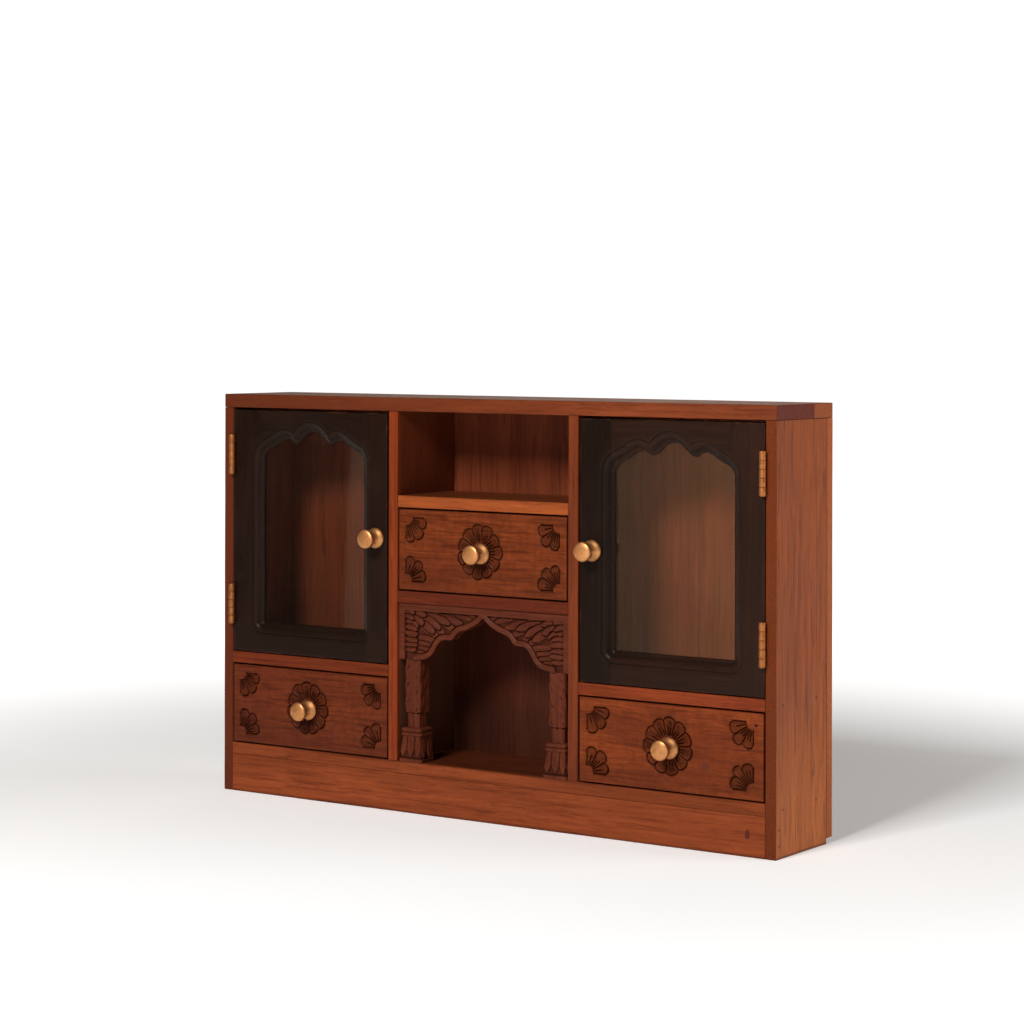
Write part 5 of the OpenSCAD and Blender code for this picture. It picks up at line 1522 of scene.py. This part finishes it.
# --- catches and strike plates -------------------------------------------------
steel = plain("steel_plate", (176, 174, 168), (134, 128, 118), rough=0.34, metallic=0.95, scale=340.0)
catch_m = [plain("catch_case", (74, 50, 36), (56, 38, 28), rough=0.42, scale=180.0), steel, plain("magnet_block", (52, 50, 50), (38, 36, 36), rough=0.6, scale=420.0)]
c = rounded_box(115.6, 129.2, 17.6, 29.0, SHELF_Z1, 147.2, r=0.9, step=4.0, wob=0.04, seed=111)
c.join(rounded_box(112.4, 132.4, 18.6, 28.4, SHELF_Z1, 137.2, r=0.7, step=4.0, wob=0.03, seed=112))
c.join(rounded_box(117.0, 127.8, 17.0, 18.4, 137.4, 138.7, r=0.2, step=4.0, wob=0.02, seed=113, mat=1))
c.join(rounded_box(117.0, 127.8, 17.0, 18.4, 144.0, 145.3, r=0.2, step=4.0, wob=0.02, seed=114, mat=1))
c.join(rounded_box(117.2, 127.6, 17.3, 18.4, 138.9, 143.8, r=0.25, step=4.0, wob=0.02, seed=115, mat=2))
for sx in (113.9, 130.9):
    t = screw_top((sx, 23.5, 137.2), 1.45, 0.5, "z", 1, slot_w=0.28, slot_d=0.35, dome=0.5, turn=sx, mat=1, shank=[(0.9, -0.1), (0.9, -1.6)])
    c.join(t)
make("door_catches_look", c.join(c.mirrored()), catch_m, node="door_catches", angle=40)
p = rounded_box(113.4, 131.4, 16.0, 16.8, 137.7, 146.2, r=0.3, step=3.0, wob=0.03, seed=117)
p.join(screw_top((122.4, 16.55, 141.95), 2.1, 0.2, "y", 1, slot_w=0.32, slot_d=0.4, dome=0.3, turn=0.8, shank=[(1.1, -0.5)]))
make("right_door_strike_plate_look", p, steel, node="right_door_strike_plate")
make("left_door_strike_plate_look", p.mirrored(), steel, node="left_door_strike_plate")

# --- drawers ---------------------------------------------------------------------
DRAWERS = {"left_drawer": (-BAY, 47.0, 95.0, 201, (8.1, 8.1)), "center_drawer": (0.0, 205.0, 98.0, 202, (8.1, 8.1)), "right_drawer": (BAY, 47.0, 85.0, 203, (8.1, 10.4))}
for i, (body, (cx, zf, phase, seed, corner)) in enumerate(DRAWERS.items()):
    marks = []
    slow = [(2, zf + 40.0, zf + 5.0, 0.2, lin(70, 30, 14))]
    if body == "right_drawer":
        marks = [(BAY + 86.0, 0.0, 85.5 + 26.8, 1.6, lin(40, 20, 14)), (BAY + 36.0, 0.0, 85.5 - 13.0, 4.0, lin(92, 44, 26))]
    shade = {"left_drawer": (94, 39, 16), "center_drawer": (100, 43, 16), "right_drawer": (113, 49, 18)}[body]
    fm = wood("front_wood_" + body, "x", **tones(*shade, 0.62, 1.36), seed=seed, contrast=1.25, figure=0.25, figure_mm=3.4, patches=0.5, curl=0.3, patch_col=lin(80, 30, 12),
              rough=(0.34, 0.48), bump=0.2, cav_dark=0.86, cav_col=lin(26, 11, 6), pore=0.45, carved=True, marks=marks, tone=slow)
    make(body + "_front_look", drawer_front_shape(cx, zf, phase, seed, corner), fm, node=body + "_front", angle=60)
    bm_y = wood("box_wood_y_" + body, "y", **BOX, seed=seed + 20, contrast=0.9, patches=0.3, rough=(0.5, 0.65), pore=0.4)
    bm_x = wood("box_wood_x_" + body, "x", **BOX, seed=seed + 40, contrast=0.9, patches=0.3, rough=(0.5, 0.65), pore=0.4)
    hw = 93.015
    prof = [(hw, 0.2), (hw, 66.0), (hw - 8, 66.0), (hw - 8, 7.0), (hw - 5, 7.0), (hw - 5, 4.0), (hw - 8, 4.0), (hw - 8, 0.2)]
    a = bar([(cx + x, zf + z) for x, z in prof], 12.0, 89.7, "y", ease=0.35, steps=6)
    a.join(bar([(cx - x, zf + z) for x, z in prof], 12.0, 89.7, "y", ease=0.35, steps=6))
    make(body + "_sides_look", a, bm_y, node=body + "_sides")
    make(body + "_back_look", rounded_box(cx - hw + 8, cx + hw - 8, 81.7, 89.7, zf + 7.0, zf + 62.0, r=0.6, step=12.0, wob=0.1, seed=seed + 2), bm_x, node=body + "_back")
    make(body + "_bottom_look", rounded_box(cx - hw + 5.02, cx + hw - 5.02, 8.0, 89.6, zf + 4.02, zf + 6.98, r=0.3, step=16.0, wob=0.05, seed=seed + 4), bm_y, node=body + "_bottom")

# --- nails -------------------------------------------------------------------------
nails = Shape()


def nail(x, y, z, axis, sign):
    """A cut nail: its head a hair under the wood's face, its shank tapering to a point."""
    prof = [(0.0, -0.02), (0.6, -0.03), (0.86, -0.08), (0.9, -0.25), (0.9, -1.0), (0.78, -1.4), (0.74, -14.0), (0.6, -25.0), (0.0, -27.9)]
    nails.join(lathe([(r, -h) for r, h in prof], (x, y, z), axis, segs=20, sign=-sign))


for y in (12.0, 71.0):
    for z in (129.7, 41.5):
        nail(BODY_X, y, z, "x", 1)
for z in (11.0, 25.0):
    nail(BODY_X, 5.2, z, "x", 1)
for x in (BODY_X - 5.25, DIV_IN + 5.25):
    for y in (15.0, 75.0):
        nail(x, y, BODY_H, "z", 1)
for y in (16.0, 74.0):
    for z in (CEIL_Z0 + 5.5, CUBBY_Z1 - 5.5):
        nail(DIV_OUT, y, z, "x", 1)
    nail(DIV_IN, y + 5.0, 129.7, "x", -1)
    nail(DIV_IN + 5.25, y, PLINTH_H, "z", -1)
for z in (30.0, 100.0, 180.0, 260.0, 340.0):
    nail(BODY_X - 5.25, BODY_D, z, "y", 1)
for z in (80.0, 165.0, 250.0, 335.0):
    nail(DIV_IN + 5.25, BODY_D, z, "y", 1)
for x in (60.0, 150.0, 240.0):
    nail(x, BODY_D, 41.5, "y", 1)
nails.join(nails.mirrored())
nail_m = plain("nail_iron", (58, 40, 32), (40, 28, 24), rough=0.5, metallic=0.7, scale=500.0)
make("carcass_nails_look", nails, nail_m, node="carcass_nails", angle=40)

# ---------------------------------------------------------------------------
# Every CAD node still shown gets the nail iron finish
# ---------------------------------------------------------------------------
for name, o in frame["nodes"].items():
    if o.hide_render:
        continue
    o.data.materials.clear()
    o.data.materials.append(nail_m)

# ---------------------------------------------------------------------------
# Room: pale floor, soft light
# ---------------------------------------------------------------------------
scene = bpy.context.scene
scene.view_settings.view_transform = "Standard"
scene.view_settings.look = "None"
scene.view_settings.exposure = 0.0
scene.view_settings.gamma = 1.0
FLOOR_GLOW = (0.22, 0.95)

fn = Nodes("floor_paper")
fco = fn.new("TexCoord").outputs["Object"]
fa = fn.new("TexNoise", {"Vector": fco, "Scale": 1.3, "Detail": 2.0}).outputs[0]
fcol = fn.mix(fa, (0.90, 0.90, 0.895, 1), (0.93, 0.93, 0.925, 1))
fdiff = fn.new("BsdfDiffuse", {"Color": fcol})
fdist = fn.new("VectorMath", {0: fco, 1: (0.0, 0.0, 0.0)}, operation="DISTANCE").outputs["Value"]
femit = fn.new("Emission", {"Color": (1.0, 1.0, 1.0, 1.0), "Strength": fn.map(fdist, 0.45, 1.5, FLOOR_GLOW[0], FLOOR_GLOW[1])})
fadd = fn.new("AddShader", {0: fdiff.outputs[0], 1: femit.outputs[0]})
fn.set(fn.out.inputs[0], fadd)
fm = bpy.data.meshes.new("floor")
fm.from_pydata([(-14, -9, 0), (14, -9, 0), (14, 19, 0), (-14, 19, 0)], [], [(0, 1, 2, 3)])
fm.materials.append(fn.mat)
floor = bpy.data.objects.new("floor", fm)
scene.collection.objects.link(floor)

world = bpy.data.worlds.new("room")
scene.world = world
world.use_nodes = True
wt = world.node_tree
wt.nodes.clear()
wo = wt.nodes.new("ShaderNodeOutputWorld")
wb = wt.nodes.new("ShaderNodeBackground")
wc = wt.nodes.new("ShaderNodeBackground")
wl = wt.nodes.new("ShaderNodeLightPath")
wm = wt.nodes.new("ShaderNodeMixShader")
wb.inputs[0].default_value = (1.0, 0.86, 0.74, 1)
wb.inputs[1].default_value = 0.08
wc.inputs[0].default_value = (1, 1, 1, 1)
wc.inputs[1].default_value = 1.1
# the paper behind and above the table seen in grazing surfaces: brighter to the back
wd = wt.nodes.new("ShaderNodeTexCoord")
wsep = wt.nodes.new("ShaderNodeSeparateXYZ")
wback = wt.nodes.new("ShaderNodeMapRange")
wstr = wt.nodes.new("ShaderNodeMath")
wt.links.new(wd.outputs["Generated"], wsep.inputs[0])
wt.links.new(wsep.outputs[1], wback.inputs["Value"])
wleft = wt.nodes.new("ShaderNodeMapRange")
wboth = wt.nodes.new("ShaderNodeMath")
for m_, vals in ((wback, (0.62, 0.8, 0.0, 0.9)), (wleft, (0.1, -0.3, 0.0, 1.0))):
    for k_, v_ in zip(("From Min", "From Max", "To Min", "To Max"), vals):
        m_.inputs[k_].default_value = v_
wboth.operation = "MULTIPLY"
wt.links.new(wsep.outputs[0], wleft.inputs["Value"])
wt.links.new(wback.outputs[0], wboth.inputs[0])
wt.links.new(wleft.outputs[0], wboth.inputs[1])
wstr.operation = "ADD"
wstr.inputs[1].default_value = 0.08
wt.links.new(wboth.outputs[0], wstr.inputs[0])
wt.links.new(wstr.outputs[0], wb.inputs[1])
wt.links.new(wl.outputs["Is Camera Ray"], wm.inputs[0])
wt.links.new(wb.outputs[0], wm.inputs[1])
wt.links.new(wc.outputs[0], wm.inputs[2])
wt.links.new(wm.outputs[0], wo.inputs[0])


def softbox(name, loc, target, w, h, power, col=(1.0, 1.0, 1.0)):
    d = bpy.data.lights.new(name, "AREA")
    d.shape, d.size, d.size_y, d.energy, d.color = "RECTANGLE", w, h, power, col
    o = bpy.data.objects.new(name, d)
    scene.collection.objects.link(o)
    o.location = loc
    delta = [target[i] - loc[i] for i in range(3)]
    L = math.hypot(delta[0], delta[1])
    o.rotation_mode = "XYZ"
    o.rotation_euler = (math.pi / 2 + math.atan2(delta[2], L), 0.0, math.atan2(delta[1], delta[0]) - math.pi / 2)
    return o


softbox("key", (0.215, -2.14, 1.68), (0.0, 0.0, 0.19), 0.75, 0.6, 62.0)
softbox("right_fill", (1.9, 0.8, 0.45), (0.3, 0.0, 0.12), 1.0, 0.8, 16.0)

# a warm card at the front left, seen in the panes
cn = Nodes("card_paint")
cco = cn.new("TexCoord").outputs["Object"]
ca = cn.new("TexNoise", {"Vector": cco, "Scale": 3.0, "Detail": 2.0}).outputs[0]
cx = cn.new("SeparateXYZ", {0: cco}).outputs[0]
cc = cn.mix(cn.map(cx, -0.8, -0.5), cn.mix(ca, (0.295, 0.192, 0.128, 1), (0.335, 0.216, 0.146, 1)), cn.mix(ca, (0.41, 0.24, 0.155, 1), (0.45, 0.265, 0.17, 1)))
cc = cn.mix(cn.map(cx, -0.46, -0.3), cc, (0.72, 0.37, 0.185, 1))
ce = cn.new("Emission", {"Color": cc})
cn.set(cn.out.inputs[0], ce)
cm = bpy.data.meshes.new("card")
cm.from_pydata([(-0.929, -1.0, -0.02), (-0.275, -1.0, -0.02), (-0.305, -1.0, 0.55), (-0.902, -1.0, 0.55)], [], [(0, 1, 2, 3)])
cm.materials.append(cn.mat)
card = bpy.data.objects.new("card", cm)
scene.collection.objects.link(card)

# a dark flag beside it, that keeps the room's light off the left pane
dn = Nodes("flag_cloth")
dco = dn.new("TexCoord").outputs["Object"]
da = dn.new("TexNoise", {"Vector": dco, "Scale": 9.0, "Detail": 3.0}).outputs[0]
dd = dn.new("BsdfDiffuse", {"Color": dn.mix(da, (0.012, 0.011, 0.010, 1), (0.022, 0.020, 0.018, 1))})
dn.set(dn.out.inputs[0], dd)
dm = bpy.data.meshes.new("flag")
dm.from_pydata([(-2.6, -1.01, 0.0), (-0.86, -1.01, 0.0), (-0.86, -1.01, 0.7), (-2.6, -1.01, 0.7)], [], [(0, 1, 2, 3)])
dm.materials.append(dn.mat)
flag = bpy.data.objects.new("flag", dm)
scene.collection.objects.link(flag)
